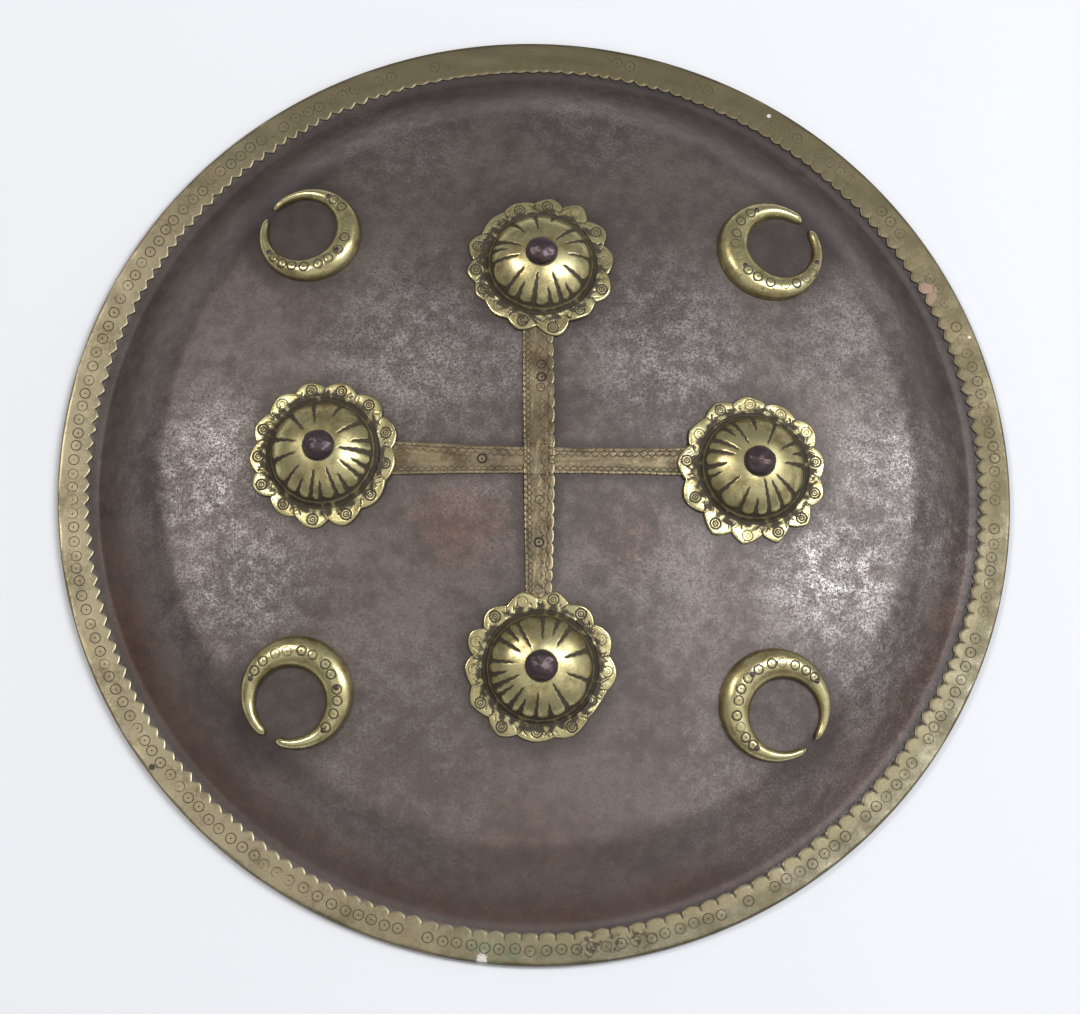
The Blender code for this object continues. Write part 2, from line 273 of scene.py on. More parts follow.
def paint(obj, name, values):
    """Keeps a value from 0 to 1 at each point, for the finish to read."""
    layer = obj.data.attributes.get(name) or obj.data.attributes.new(name, "FLOAT", "POINT")
    layer.data.foreach_set("value", np.clip(values, 0, 1).astype(np.float32))


def place_piece(obj, place):
    """Puts a piece made at the origin where it belongs and applies the move to its mesh."""
    pick(obj)
    obj.matrix_world = place
    bpy.ops.object.transform_apply(location=True, rotation=True, scale=True)


def sound(obj):
    """Raises an error if the piece has an open or a crowded edge."""
    edges = np.empty(len(obj.data.loops), np.int32)
    obj.data.loops.foreach_get("edge_index", edges)
    uses = np.bincount(edges, minlength=len(obj.data.edges))
    if (uses != 2).any():
        raise RuntimeError(f"{obj.name}: {int((uses != 2).sum())} edges don't join two faces")


def finish_piece(obj, material, slot, *nodes, angle=40):
    """Shades, coats and seats a piece that stands for the frame's nodes."""
    sound(obj)
    pick(obj)
    bpy.ops.object.shade_smooth_by_angle(angle=math.radians(angle))
    if not obj.data.materials:
        obj.data.materials.append(material)
    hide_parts(*nodes)
    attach(obj, "root")
    return obj


def steps(start, end, count):
    """count evenly spaced numbers from start to end, both included."""
    return [start + (end - start) * i / (count - 1) for i in range(count)]


def ripple(co, size, seed):
    """Seeded lumps of about the size given, from about -1 to 1."""
    rng = np.random.default_rng(seed)
    total = np.zeros(len(co))
    waves = 14
    for _ in range(waves):
        way = rng.normal(size=3)
        way *= 2 * math.pi / size * rng.uniform(0.6, 1.5) / np.linalg.norm(way)
        total += np.sin(co @ way + rng.uniform(0, 2 * math.pi))
    return total / math.sqrt(waves)


# ---------------------------------------------------------------- chasing tools

PUNCH_LINE = 0.24 * MM
DOT_SIZE = 0.32 * MM


def punched(u, v, rings, depth):
    """Depth and dirt left by ring-and-dot punches; rings holds (u, v, ring radius, strength)."""
    sunk, dirt = np.zeros(len(u)), np.zeros(len(u))
    for ring_u, ring_v, radius, strength in rings:
        away = np.hypot(u - ring_u, v - ring_v)
        mark = np.maximum(hump(away - radius, PUNCH_LINE), 0.9 * hump(away, DOT_SIZE))
        stain = np.maximum(hump(away - radius, 1.5 * PUNCH_LINE), hump(away, 1.3 * DOT_SIZE))
        sunk = np.maximum(sunk, depth * strength * mark)
        dirt = np.maximum(dirt, strength * stain)
    return sunk, dirt


def stroked(u, v, lines, depth):
    """Depth and dirt left by a chisel; a line is (u, v, end u, end v, width, strength)."""
    sunk, dirt = np.zeros(len(u)), np.zeros(len(u))
    for u0, v0, u1, v1, width, strength in lines:
        along_u, along_v = u1 - u0, v1 - v0
        length = math.hypot(along_u, along_v)
        part = np.clip(((u - u0) * along_u + (v - v0) * along_v) / length**2, 0, 1)
        away = np.hypot(u - u0 - part * along_u, v - v0 - part * along_v)
        mark = strength * hump(away, width * (0.5 + 0.5 * part))
        sunk = np.maximum(sunk, depth * mark)
        dirt = np.maximum(dirt, mark)
    return sunk, dirt


# ---------------------------------------------------------------- the bowl


def shoulder_line(count):
    """The cubic curve from the crown's edge down to the foot, as (radius, height) points."""
    slope = Vector((1.0, -2 * CROWN_CURVE * SHOULDER_RADIUS)).normalized()
    start = Vector((SHOULDER_RADIUS, crown_height(SHOULDER_RADIUS, 0)))
    end = Vector((FOOT_RADIUS, BORDER_SHEET + GAP + STEEL))
    start_handle = start + SHOULDER_HANDLE * slope
    end_handle = end - Vector((FOOT_HANDLE, 0))
    line = []
    for t in steps(0, 1, count):
        s = 1 - t
        line.append(
            s**3 * start + 3 * s * s * t * start_handle + 3 * s * t * t * end_handle + t**3 * end
        )
    return [(point.x, point.y) for point in line]


def bowl_line(inset, crown_steps, shoulder_steps):
    """The bowl's section from the pole to the rim, moved in by inset along its normal."""
    line = [(r, crown_height(r, 0)) for r in steps(0.4 * MM, SHOULDER_RADIUS, crown_steps)]
    line += shoulder_line(shoulder_steps)[1:]
    edge = RIM_RADIUS - BORDER_SHEET - GAP
    line += [(r, BORDER_SHEET + GAP + STEEL) for r in steps(FOOT_RADIUS, edge, 6)[1:]]
    moved = []
    for i, (r, z) in enumerate(line):
        (r0, z0), (r1, z1) = line[max(i - 1, 0)], line[min(i + 1, len(line) - 1)]
        length = math.hypot(r1 - r0, z1 - z0)
        inner = max(r + inset * (z1 - z0) / length, 0.1 * MM)
        moved.append((inner, z - inset * (r1 - r0) / length))
    return moved


def make_bowl(settings):
    outside = bowl_line(0, 46, 22)
    inside = bowl_line(STEEL, 26, 12)
    obj = turned("bowl_skin", outside + inside[::-1] + [(POLE, inside[0][1])], 288, domed=True)
    co, out = points_of(obj), normals_of(obj)
    fade = between(FOOT_RADIUS, SHOULDER_RADIUS, np.hypot(co[:, 0], co[:, 1]))
    beaten = settings.beating * (0.6 * ripple(co, 0.045, 3) + 0.4 * ripple(co, 0.02, 4))
    move_points(obj, co + np.array([0, 0, 1.0]) * (beaten * fade)[:, None])
    return obj


# ---------------------------------------------------------------- the border

BORDER_COLUMNS = 1536
TOOTH_FOOT = 181.6 * MM
TIP_RADIUS = RIM_RADIUS - BORDER_FRONT
PUNCH_ROW = 184.1 * MM
FOLD_SQUARE = 0.6


def row_of(pitch_at, jitter, seed):
    """Directions round the shield whose spacing follows pitch_at(direction), in mm at the teeth."""
    rng = np.random.default_rng(seed)
    spots, here = [], 0.0
    while here < 360:
        spots.append(here)
        wide = pitch_at(here) * MM / TIP_RADIUS
        here += math.degrees(wide) * (1 + jitter * rng.uniform(-1, 1))
    return np.array(spots) * 360 / here


def near(angle, middle, half_width):
    """1 at a direction round the shield, falling to nothing away from it."""
    return hump(turn_apart(angle, middle), half_width)


def tooth_pitch(angle):
    return 5.6 + 1.6 * near(angle, 292, 38) - 0.6 * near(angle, 80, 35)


def tooth_depth(angle):
    deep = 2.4 - 1.9 * near(angle, 98, 13) - 1.1 * near(angle, 62, 22)
    return (deep - 0.7 * near(angle, 275, 24)) * MM


def tooth_fullness(angle):
    return 1.5 + 0.8 * near(angle, 290, 50) + 0.4 * near(angle, 60, 40)


def pointed(angle):
    return np.ones_like(angle)


def tooth_edge(angle, spots, seed, point_at):
    """Radius of the toothed edge at each angle, for teeth that start at the spots."""
    rng = np.random.default_rng(seed)
    count = len(spots)
    cut = rng.uniform(0.8, 1.12, count)
    lean = rng.uniform(-0.09, 0.09, count)
    number = np.searchsorted(spots, angle, side="right") - 1
    start = spots[number]
    end = np.append(spots, 360.0)[number + 1]
    across = np.clip((angle - start) / (end - start) + lean[number] * 0.6, 0, 1)
    off = np.abs(2 * across - 1)
    lobe = 0.88 * (1 - off**point_at(angle)) ** 0.8 + 0.12 * np.clip(1 - 4 * off, 0, 1)
    return TIP_RADIUS + tooth_depth(angle) * (1 - lobe * cut[number])


def punch_pitch(angle):
    return 5.42 + 0.25 * near(angle, 280, 30)


def make_punch_tool(radius):
    """One ring punch with its centre point, as a cutter."""
    alone()
    bpy.ops.mesh.primitive_torus_add(
        major_radius=radius, minor_radius=PUNCH_LINE, major_segments=22, minor_segments=6
    )
    ring = named("punch_ring")
    alone()
    bpy.ops.mesh.primitive_uv_sphere_add(segments=8, ring_count=5, radius=1.15 * DOT_SIZE)
    dot = named("punch_dot")
    pick(ring, dot)
    bpy.ops.object.join()
    return ring


def punch_into(obj, tool, spots, material):
    """Cuts a copy of the punch into the piece at each (x, y, z), its cut faces in the material."""
    copies = []
    for x, y, z in spots:
        one = tool.copy()
        one.data = tool.data.copy()
        one.location = (x, y, z)
        bpy.context.collection.objects.link(one)
        copies.append(one)
    pick(*copies)
    bpy.ops.object.join()
    cutter = bpy.context.active_object
    bpy.ops.object.transform_apply(location=True)
    cutter.data.materials.append(material)
    pick(obj)
    cut = obj.modifiers.new("punches", "BOOLEAN")
    cut.operation = "DIFFERENCE"
    cut.solver = "MANIFOLD"
    cut.material_mode = "TRANSFER"
    cut.object = cutter
    bpy.ops.object.modifier_apply(modifier=cut.name)
    bpy.data.objects.remove(cutter)
    bpy.data.objects.remove(tool)


def border_line():
    """The folded sheet's section: front leaf from its toothed edge, fold, back leaf, inside."""
    fold = BORDER_TOP / 2
    rings = (0, 0.35, 0.8, 1.4, 2.1, 2.9, 3.8, 4.6, 6.2, 8.0, 9.6)
    front = [(TIP_RADIUS + d * MM, BORDER_TOP) for d in rings]
    turn = []
    for a in steps(0, math.pi, 13):
        out, up = abs(math.sin(a)) ** FOLD_SQUARE, abs(math.cos(a)) ** FOLD_SQUARE
        turn.append((RIM_RADIUS - fold + fold * out, fold + math.copysign(fold * up, math.cos(a))))
    back = RIM_RADIUS - BORDER_BACK
    wall = RIM_RADIUS - BORDER_SHEET
    over = BORDER_TOP - BORDER_SHEET
    inside = [(back, 0), (back, BORDER_SHEET), (wall, BORDER_SHEET), (wall, over)]
    under = [(TIP_RADIUS + d * MM, over) for d in (8.0, 4.6, 2.1, 0)]
    ledge = [(TIP_RADIUS, over + 0.42 * BORDER_SHEET), (TIP_RADIUS, over + 0.46 * BORDER_SHEET)]
    return front + turn + inside + under + ledge + [front[0]]


def make_border(settings, brass, dark):
    obj = turned("border_band", border_line(), BORDER_COLUMNS)
    obj.data.materials.append(brass)
    co = points_of(obj)
    angle = np.degrees(np.arctan2(co[:, 1], co[:, 0])) % 360
    radius = np.hypot(co[:, 0], co[:, 1])
    height = co[:, 2]
    spots = row_of(tooth_pitch, 0.09, 11)
    edge = tooth_edge(angle, spots, 12, tooth_fullness)
    lining = tooth_edge((angle + 1.1) % 360, spots, 13, pointed) + 0.35 * MM
    lined = near(angle, 315, 38)
    low_edge = np.where(lined > 0.25, np.minimum(edge, lining), edge)
    is_low = height < BORDER_TOP - 0.5 * BORDER_SHEET
    rim = np.where(is_low, low_edge, edge)
    loose = (height > BORDER_SHEET * 1.5) & (radius < TOOTH_FOOT)
    pulled = TOOTH_FOOT - (TOOTH_FOOT - radius) * (TOOTH_FOOT - rim) / (TOOTH_FOOT - TIP_RADIUS)
    new_radius = np.where(loose, pulled, radius)
    top = height > BORDER_TOP - 0.1 * MM
    number = np.searchsorted(spots, angle, side="right") - 1
    ends = np.append(spots, 360.0)
    away = np.minimum(angle - spots[number], ends[number + 1] - angle)
    from_notch = away * math.pi / 180 * TIP_RADIUS
    faded = between(TIP_RADIUS + 2.6 * MM, TOOTH_FOOT + 0.6 * MM, new_radius)
    # Chased creases between the leaves hold dirt, with painted shade along them, strongest at the lower
    # right.
    crease = hump(from_notch, 0.5 * MM) * (1 - faded)
    crease *= 0.35 + 0.65 * near(angle, 315, 60)
    from_edge = new_radius - rim
    height = height - top * settings.chase_depth * 0.7 * crease
    height = height - top * 0.16 * MM * (1 - between(0, 0.7 * MM, from_edge))
    plain = between(TOOTH_FOOT, TOOTH_FOOT + 2 * MM, new_radius)
    height = height + top * 0.10 * MM * ripple(co, 0.016, 21) * plain
    worn = 0.6 * top * (1 - between(0.15 * MM, 0.6 * MM, from_edge))
    # The fold's lower outer side and the teeth's edge walls and underside take painted shade through the dirt
    # layer.
    outline = (new_radius > RIM_RADIUS - 0.5 * MM) * (height < BORDER_TOP - 0.3 * MM)
    wall = np.where(height < BORDER_TOP - 0.15 * MM, 1.0, 0.0) * (new_radius < TOOTH_FOOT)
    x, y = new_radius * np.cos(np.radians(angle)), new_radius * np.sin(np.radians(angle))
    move_points(obj, np.stack([x, y, height], 1))
    dirt = np.maximum(0.9 * top * crease, 0.85 * wall * (1 - worn))
    paint(obj, "dirt", np.maximum(dirt, 0.45 * outline))
    paint(obj, "wear_and_sheen", worn)
    rng = np.random.default_rng(14)
    tool = make_punch_tool(settings.punch_size / 2)
    stamps = []
    for spot in row_of(punch_pitch, 0.13, 15):
        if rng.uniform() < 0.06 + 0.5 * near(spot, 97, 16) + 0.35 * near(spot, 25, 20):
            continue
        radius = PUNCH_ROW + rng.normal(0, 0.28 * MM)
        x, y = polar(radius, spot)
        faint = rng.uniform(0, 0.10) + 0.10 * near(spot, 80, 40) + 0.08 * near(spot, 20, 40)
        stamps.append((x, y, BORDER_TOP + faint * MM))
    punch_into(obj, tool, stamps, dark)
    return obj


# ---------------------------------------------------------------- the straps


# Straps: upright or not, each edge's offsets, scallop pitch and depth, and the rings on it
STRAPS = {
    "horizontal": (
        False,
        (((-6.5, -5.3, -4.2), 2.6, 0.4), ((6.8, 5.2, 7.1), 3.2, 0.5)),
        ((-22.5, 0, 1.0), (-30, 0.5, 0.4)),
    ),
    "vertical": (
        True,
        (((-5.3, -5.6, -4.3), 5.2, 0.9), ((4.6, 6.3, 7.4), 2.4, 0.35)),
        ((39, 0.2, 0.6), (33.7, 0, 1.0), (29.5, 0.3, 0.5), (-32.7, 0, 1.0), (-16, 0, 0.5), (-51, 0, 0.4),
         (0, -4.6, 0.5), (0, 4.6, 0.5)),
    ),
}


def along_strap(s, at_low, at_middle, at_high):
    """A strap edge drawn through three offsets, at its two ends and at the crossing."""
    t = s / (55 * MM)
    return at_middle + (at_high - at_low) / 2 * t + ((at_high + at_low) / 2 - at_middle) * t * t


def scallops(s, pitch, seed):
    """Lobes along an edge, from 0 in the notches to 1, with uneven sizes."""
    rng = np.random.default_rng(seed)
    count = int(2 * STRAP_HALF_LENGTH / pitch) + 2
    notches = np.cumsum(pitch * rng.uniform(0.85, 1.15, count)) - STRAP_HALF_LENGTH - pitch
    number = np.clip(np.searchsorted(notches, s) - 1, 0, count - 2)
    part = np.clip((s - notches[number]) / (notches[number + 1] - notches[number]), 0, 1)
    return np.sqrt(np.clip(1 - (2 * part - 1) ** 2, 0, 1)), np.minimum(part, 1 - part) * pitch


def make_strap(name, settings, upright, edges, rings):
    """A strap along X, or along Y if upright. edges: (offsets, scallop pitch, depth) low, then high."""
    alone()
    bpy.ops.mesh.primitive_grid_add(x_subdivisions=540, y_subdivisions=44, size=2)
    obj = named(name)
    co = points_of(obj)
    s = co[:, 0] * STRAP_HALF_LENGTH
    part = co[:, 1]
    sides = []
    for (offsets, pitch, depth), seed, way in zip(edges, (31, 32), (-1, 1)):
        lobe, from_notch = scallops(s, pitch * MM, seed + len(name))
        line = along_strap(s, *(o * MM for o in offsets)) - way * depth * MM * (1 - lobe)
        sides.append((line, from_notch))
    (low, low_notch), (high, high_notch) = sides
    spread = np.sign(part) * np.abs(part) ** 0.8
    w = (low + high) / 2 + spread * (high - low) / 2
    marks = [(along * MM, over * MM, 1.7 * MM, strength) for along, over, strength in rings]
    sunk, dirt = punched(s, w, marks, settings.chase_depth)
    for line, notch, pitch in ((low, low_notch, edges[0][1]), (high, high_notch, edges[1][1])):
        inward = np.abs(w - line)
        reach = pitch * MM
        outer_arc = hump(np.hypot(notch - reach / 2, inward) - 0.55 * reach, 0.25 * MM)
        inner_arc = hump(np.hypot(notch, inward - 0.5 * reach) - 0.55 * reach, 0.25 * MM)
        arc = np.maximum(outer_arc, inner_arc * (inward > 0.5 * reach))
        sunk = np.maximum(sunk, 0.5 * settings.chase_depth * arc)
        dirt = np.maximum(dirt, 0.55 * arc)
    from_edge = np.minimum(w - low, high - w)
    sunk += 0.12 * MM * (1 - between(0, 0.45 * MM, from_edge))
    lift = GAP + STRAP_SHEET - sunk + 0.05 * MM * ripple(co * 0.05, 0.012, 33)
    if upright:
        lift += (STRAP_SHEET + GAP) * between(-19 * MM, -6.5 * MM, -np.abs(s))
        square = hump(np.abs(s) - 6.2 * MM, 0.3 * MM) * (np.abs(s) < 7 * MM)
        square *= 0.5 + 0.5 * np.clip(ripple(co * 0.05, 0.006, 34), -1, 1)
        lift -= 0.08 * MM * square
        dirt = np.maximum(dirt, 0.8 * square)
        x, y = -w, s
    else:
        x, y = s, w
    normal = np.stack([2 * CROWN_CURVE * x, 2 * CROWN_CURVE * y, np.ones(len(x))], 1)
    normal /= np.linalg.norm(normal, axis=1)[:, None]
    base = np.stack([x, y, crown_height(x, y)], 1)
    move_points(obj, base + normal * lift[:, None])
    paint(obj, "dirt", dirt)
    paint(obj, "wear_and_sheen", 1 - between(0.25 * MM, 0.55 * MM, from_edge))
    pick(obj)
    wall = obj.modifiers.new("sheet", "SOLIDIFY")
    wall.thickness = STRAP_SHEET * 0.75
    wall.offset = -1
    bpy.ops.object.modifier_apply(modifier=wall.name)
    return obj


# ---------------------------------------------------------------- the bosses

BOSS_COLUMNS = 468
EDGE_ROLL = 0.35 * MM


def petals_of(node, place):
    """Notch directions and tip radii of a boss, read off the outline of its node in the frame."""
    co = points_of(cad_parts[node])
    local = np.array(place.inverted())
    co = co @ local[:3, :3].T + local[:3, 3]
    radius = np.hypot(co[:, 0], co[:, 1])
    rim = radius > 26 * MM
    angle = np.round(np.degrees(np.arctan2(co[rim, 1], co[rim, 0])) % 360, 1)
    angles, first = np.unique(angle, return_index=True)
    radii = radius[rim][first]
    phase = min(range(3), key=lambda k: radii[k::3].mean())
    notches = angles[phase::3]
    shoulders = np.array([np.roll(radii, -1 - i)[0] for i in range(phase, len(radii), 3)])
    return notches, shoulders + 0.3 * MM


def petal_edge(angle, notches, tips, seed):
    """Radius of the petalled edge at each angle."""
    rng = np.random.default_rng(seed)
    number = (np.searchsorted(notches, angle, side="right") - 1) % len(notches)
    start = notches[number]
    width = (np.roll(notches, -1)[number] - start) % 360
    across = ((angle - start) % 360) / width
    lean = rng.uniform(-0.09, 0.09, len(notches))[number]
    off = np.abs(2 * np.clip(across + lean * (1 - np.abs(2 * across - 1)), 0, 1) - 1)
    cuts = 26.9 * MM + rng.uniform(-0.5, 0.5, len(notches)) * MM
    notch = cuts[number] + (np.roll(cuts, -1)[number] - cuts[number]) * across
    point = rng.uniform(1.2, 2.0, len(notches))[number]
    lobe = (1 - off**point) ** 0.92
    return notch + (tips[number] - notch) * lobe


def boss_line():
    """Section of a boss: dome from its hole down, gutter, flange, rolled edge and the inside."""
    top = GAP + BOSS_SHEET
    rise = DOME_HEIGHT - BOSS_SHEET
    hole = SHANK_RADIUS + GAP
    line = []
    for a in steps(math.acos(hole / DOME_RADIUS), 0.14, 40):
        line.append((DOME_RADIUS * math.cos(a), top + rise * math.sin(a)))
    line += [(20.75 * MM, top + 0.6 * MM), (21.1 * MM, top - 0.1 * MM), (21.5 * MM, top - 0.45 * MM)]
    line += [(22.0 * MM, top - 0.4 * MM), (22.3 * MM, top - 0.15 * MM), (GUTTER_RADIUS, top + 0.12 * MM)]
    line += [(22.95 * MM, top + 0.12 * MM), (23.3 * MM, top)]
    line += [(r, top) for r in steps(23.6 * MM, FLANGE_RADIUS - EDGE_ROLL, 18)]
    line += [(FLANGE_RADIUS - 0.1 * MM, top - 0.12 * MM), (FLANGE_RADIUS, top - 0.35 * MM)]
    line += [(FLANGE_RADIUS, GAP + 0.2 * MM), (FLANGE_RADIUS - 0.2 * MM, GAP)]
    line += [(r, GAP) for r in (26.5 * MM, 24 * MM, GUTTER_RADIUS, DOME_RADIUS - BOSS_SHEET)]
    for a in steps(0.2, math.acos(hole / (DOME_RADIUS - BOSS_SHEET)), 10):
        line.append(((DOME_RADIUS - BOSS_SHEET) * math.cos(a), GAP + rise * math.sin(a)))
    return line + [line[0]]


def flutes(radius, angle, long_ones, short_ones, seed):
    """Depth and dirt of the flutes chased into a dome, wider and deeper towards its foot."""
    rng = np.random.default_rng(seed)
    total, dirt = np.zeros(len(radius)), np.zeros(len(radius))
    rows = [(a, rng.uniform(7.2, 11.2)) for a in long_ones]
    rows += [(a, rng.uniform(12.6, 15.5)) for a in short_ones]
    for direction, start in rows:
        start *= MM
        bow = rng.uniform(-3, 3)
        off = turn_apart(angle, direction + bow * (radius / DOME_RADIUS - 0.6))
        aside = radius * np.sin(np.radians(off)) + 0.12 * MM * np.sin(radius / MM * 2.3 + direction)
        down = np.clip((radius - start) / (DOME_RADIUS - start), 0, 1)
        width = (0.34 + rng.uniform(0.55, 1.05) * down) * MM
        line = hump(aside, width) * between(-0.9 * MM, 0.8 * MM, radius - start) * (np.abs(off) < 60)
        total = np.maximum(total, line * (0.45 + 0.55 * down))
        dirt = np.maximum(dirt, 1.2 * line)
    ends = np.sort(np.array([*long_ones, *short_ones], float))
    number = (np.searchsorted(ends, angle, side="right") - 1) % len(ends)
    gap = (np.roll(ends, -1)[number] - ends[number]) % 360
    across = ((angle - ends[number]) % 360) / gap
    lobe = np.sqrt(np.clip(1 - (2 * across - 1) ** 2, 0, 1))
    foot = (16.7 + 2.7 * lobe) * MM
    hollow = between(foot, foot + 0.6 * MM, radius)
    return np.maximum(total, 0.7 * hollow), np.maximum(dirt, 0.9 * hollow)


def make_boss(name, settings):
    centre, strap_way, long_ones, short_ones = BOSSES[name]
    place = seat(centre)
    seed = 40 + 7 * list(BOSSES).index(name)
    notches, tips = petals_of("boss_" + name, place)
    obj = turned("petal_boss_" + name, boss_line(), BOSS_COLUMNS)
    co, out = points_of(obj), normals_of(obj)
    radius = np.hypot(co[:, 0], co[:, 1])
    angle = np.degrees(np.arctan2(co[:, 1], co[:, 0])) % 360
    edge = petal_edge(angle, notches, tips, seed)
    flange = radius > GUTTER_RADIUS
    reach = (radius - GUTTER_RADIUS) * (edge - GUTTER_RADIUS) / (FLANGE_RADIUS - GUTTER_RADIUS)
    r = np.where(flange, GUTTER_RADIUS + reach, radius)
    u, v = r * np.cos(np.radians(angle)), r * np.sin(np.radians(angle))
    upper = np.clip(3 * out[:, 2], 0, 1)
    on_dome = (1 - between(20.0 * MM, 20.7 * MM, radius)) * upper

    cut, cut_dirt = flutes(radius, angle, long_ones, short_ones, seed + 1)
    rng = np.random.default_rng(seed + 2)
    rings, lines = [], []
    for i, (start, tip) in enumerate(zip(notches, tips)):
        width = (notches[(i + 1) % len(notches)] - start) % 360
        middle = start + width * rng.uniform(0.45, 0.55)
        out_to = tip - rng.uniform(3.4, 4.0) * MM
        ring_u, ring_v = polar(out_to, middle)
        strength = rng.choice((1.0, 0.95, 0.9, 0.55))
        rings.append((ring_u, ring_v, settings.punch_size / 2, strength))
        rings.append((ring_u, ring_v, settings.punch_size / 4, 0.8 * strength))
        crease_end = polar(24.2 * MM, start + rng.uniform(-5, 5))
        lines.append((*polar(27.4 * MM, start), *crease_end, 0.3 * MM, 0.9))
        for _ in range(8):
            a = start + width * rng.uniform(-0.34, 0.34)
            b = a + rng.uniform(-6, 6)
            r0 = rng.uniform(22.9, 24.6) * MM
            r1 = r0 + rng.uniform(0.9, 2.4) * MM
            wide, force = rng.uniform(0.18, 0.36) * MM, rng.uniform(0.5, 1.0)
            lines.append((*polar(r0, a), *polar(r1, b), wide, force))
    sunk, punch_dirt = punched(u, v, rings, settings.chase_depth)
    scored, score_dirt = stroked(u, v, lines, settings.chase_depth)
    inward = edge - r
    bead = hump(inward - 1.05 * MM, 0.3 * MM) * flange
    # Where the dome meets the flange, for painted shade with some dirt in the gutter.
    gutter = between(20.0 * MM, 20.9 * MM, radius) * (1 - between(21.8 * MM, 24.0 * MM, radius))
    depth = settings.flute_depth * cut * on_dome
    depth += flange * upper * (np.maximum(sunk, scored) + 0.25 * settings.chase_depth * bead)
    depth += flange * upper * 0.45 * MM * (1 - between(0, 0.8 * MM, inward)) * 0.5
    dent = 0.12 * MM * ripple(np.stack([u, v, co[:, 2]], 1), 0.012, seed + 3) * upper
    strap_off = np.abs(turn_apart(angle, strap_way))
    lift = (STRAP_SHEET + GAP) * smooth((48 - strap_off) / 18) * between(18 * MM, 22 * MM, radius)
    flat = np.stack([u, v, 0 * u], 1)
    lift = lift + 0.35 * MM * ripple(flat, 0.02, seed + 4) * flange * between(0, 1, upper)
    seated = co[:, 2] + fall(place, u, v) * between(0, 20 * MM, radius)
    co = np.stack([u, v, seated + np.maximum(lift, -0.1 * MM)], 1)
    dented = out * dent[:, None] * (0.4 + 0.6 * on_dome)[:, None]
    move_points(obj, co - out * depth[:, None] + dented)

    grime_and_shade = 0.5 + 0.5 * ripple(flat, 0.004, seed + 5)
    dirt = np.maximum(cut_dirt * on_dome, flange * upper * np.maximum(punch_dirt, score_dirt))
    # Painted shade with some dirt in the gutter.
    dirt = np.maximum(dirt, gutter * (0.55 + 0.4 * grime_and_shade))
    dirt = np.maximum(dirt, (0.25 + 0.6 * grime_and_shade) * flange * (1 - between(23.2 * MM, 26.6 * MM, r)))
    dirt = np.maximum(dirt, 0.45 * bead * upper)
    # Painted shade in a ring round the button's rim.
    under_button = 1 - between(5.9 * MM, 6.9 * MM, radius)
    dirt = np.maximum(dirt, 0.8 * under_button * upper)
    # Faces turned down or sideways are painted dark as shade.
    paint(obj, "dirt", np.where(upper > 0, dirt, 0.7))
    rubbed = flange * upper * (1 - between(0.45 * MM, 0.9 * MM, inward))
    # The petal edges are rubbed bright; the ridge by the gutter gets a painted highlight.
    paint(obj, "wear_and_sheen", rubbed + 0.25 * flange * hump(radius - GUTTER_RADIUS, 0.3 * MM))
    place_piece(obj, place)
    return obj


def make_button(name):
    """An iron rivet: hammered button over the boss, shank, and the clench behind the bowl."""
    foot = DOME_HEIGHT + 2 * GAP
    radius, height = 5.8 * MM, 3.6 * MM
    line = []
    for a in steps(0.04, 1.5, 14):
        line.append((radius * math.sin(a), foot + 0.1 * height + 0.9 * height * math.cos(a)))
    line += [(1.0 * radius, foot + 0.05 * height), (0.97 * radius, foot), (SHANK_RADIUS, foot)]
    back = -STEEL - GAP
    clench = [(SHANK_RADIUS, 0), (4.1 * MM, 0), (4.2 * MM, 0.5 * MM), (3.6 * MM, 1.1 * MM)]
    clench += [(2.2 * MM, 1.4 * MM), (POLE, 1.4 * MM)]
    line += [(r, back - behind) for r, behind in clench]
    obj = turned("button_" + name, line, 64, domed=True)
    co, out = points_of(obj), normals_of(obj)
    seed = 60 + list(BOSSES).index(name)
    beaten = 0.22 * MM * ripple(co, 0.006, seed) + 0.07 * MM * ripple(co, 0.0022, seed + 9)
    head = between(foot, foot + 0.4 * MM, co[:, 2])
    oval = np.array([1 + 0.06 * head, 1 - 0.04 * head, np.ones(len(co))]).T
    move_points(obj, co * oval + out * (beaten * head)[:, None])
    place_piece(obj, seat(BOSSES[name][0]))
    return obj


# ---------------------------------------------------------------- the crescents


def outer_reach(degrees, outer_radius, shift, shift_direction):
    """Distance from the hole's centre to the shifted outer circle."""
    turn = np.radians(degrees - shift_direction)
    return shift * np.cos(turn) + np.sqrt(outer_radius**2 - (shift * np.sin(turn)) ** 2)


def crescent_row(name):
    """A crescent's sizes in metres, with its place on the crown."""
    centre, hole, outer, shift, *ways = CRESCENTS[name]
    place = seat((centre[0] * MM, centre[1] * MM))
    return place, hole * MM, outer * MM, shift * MM, *ways


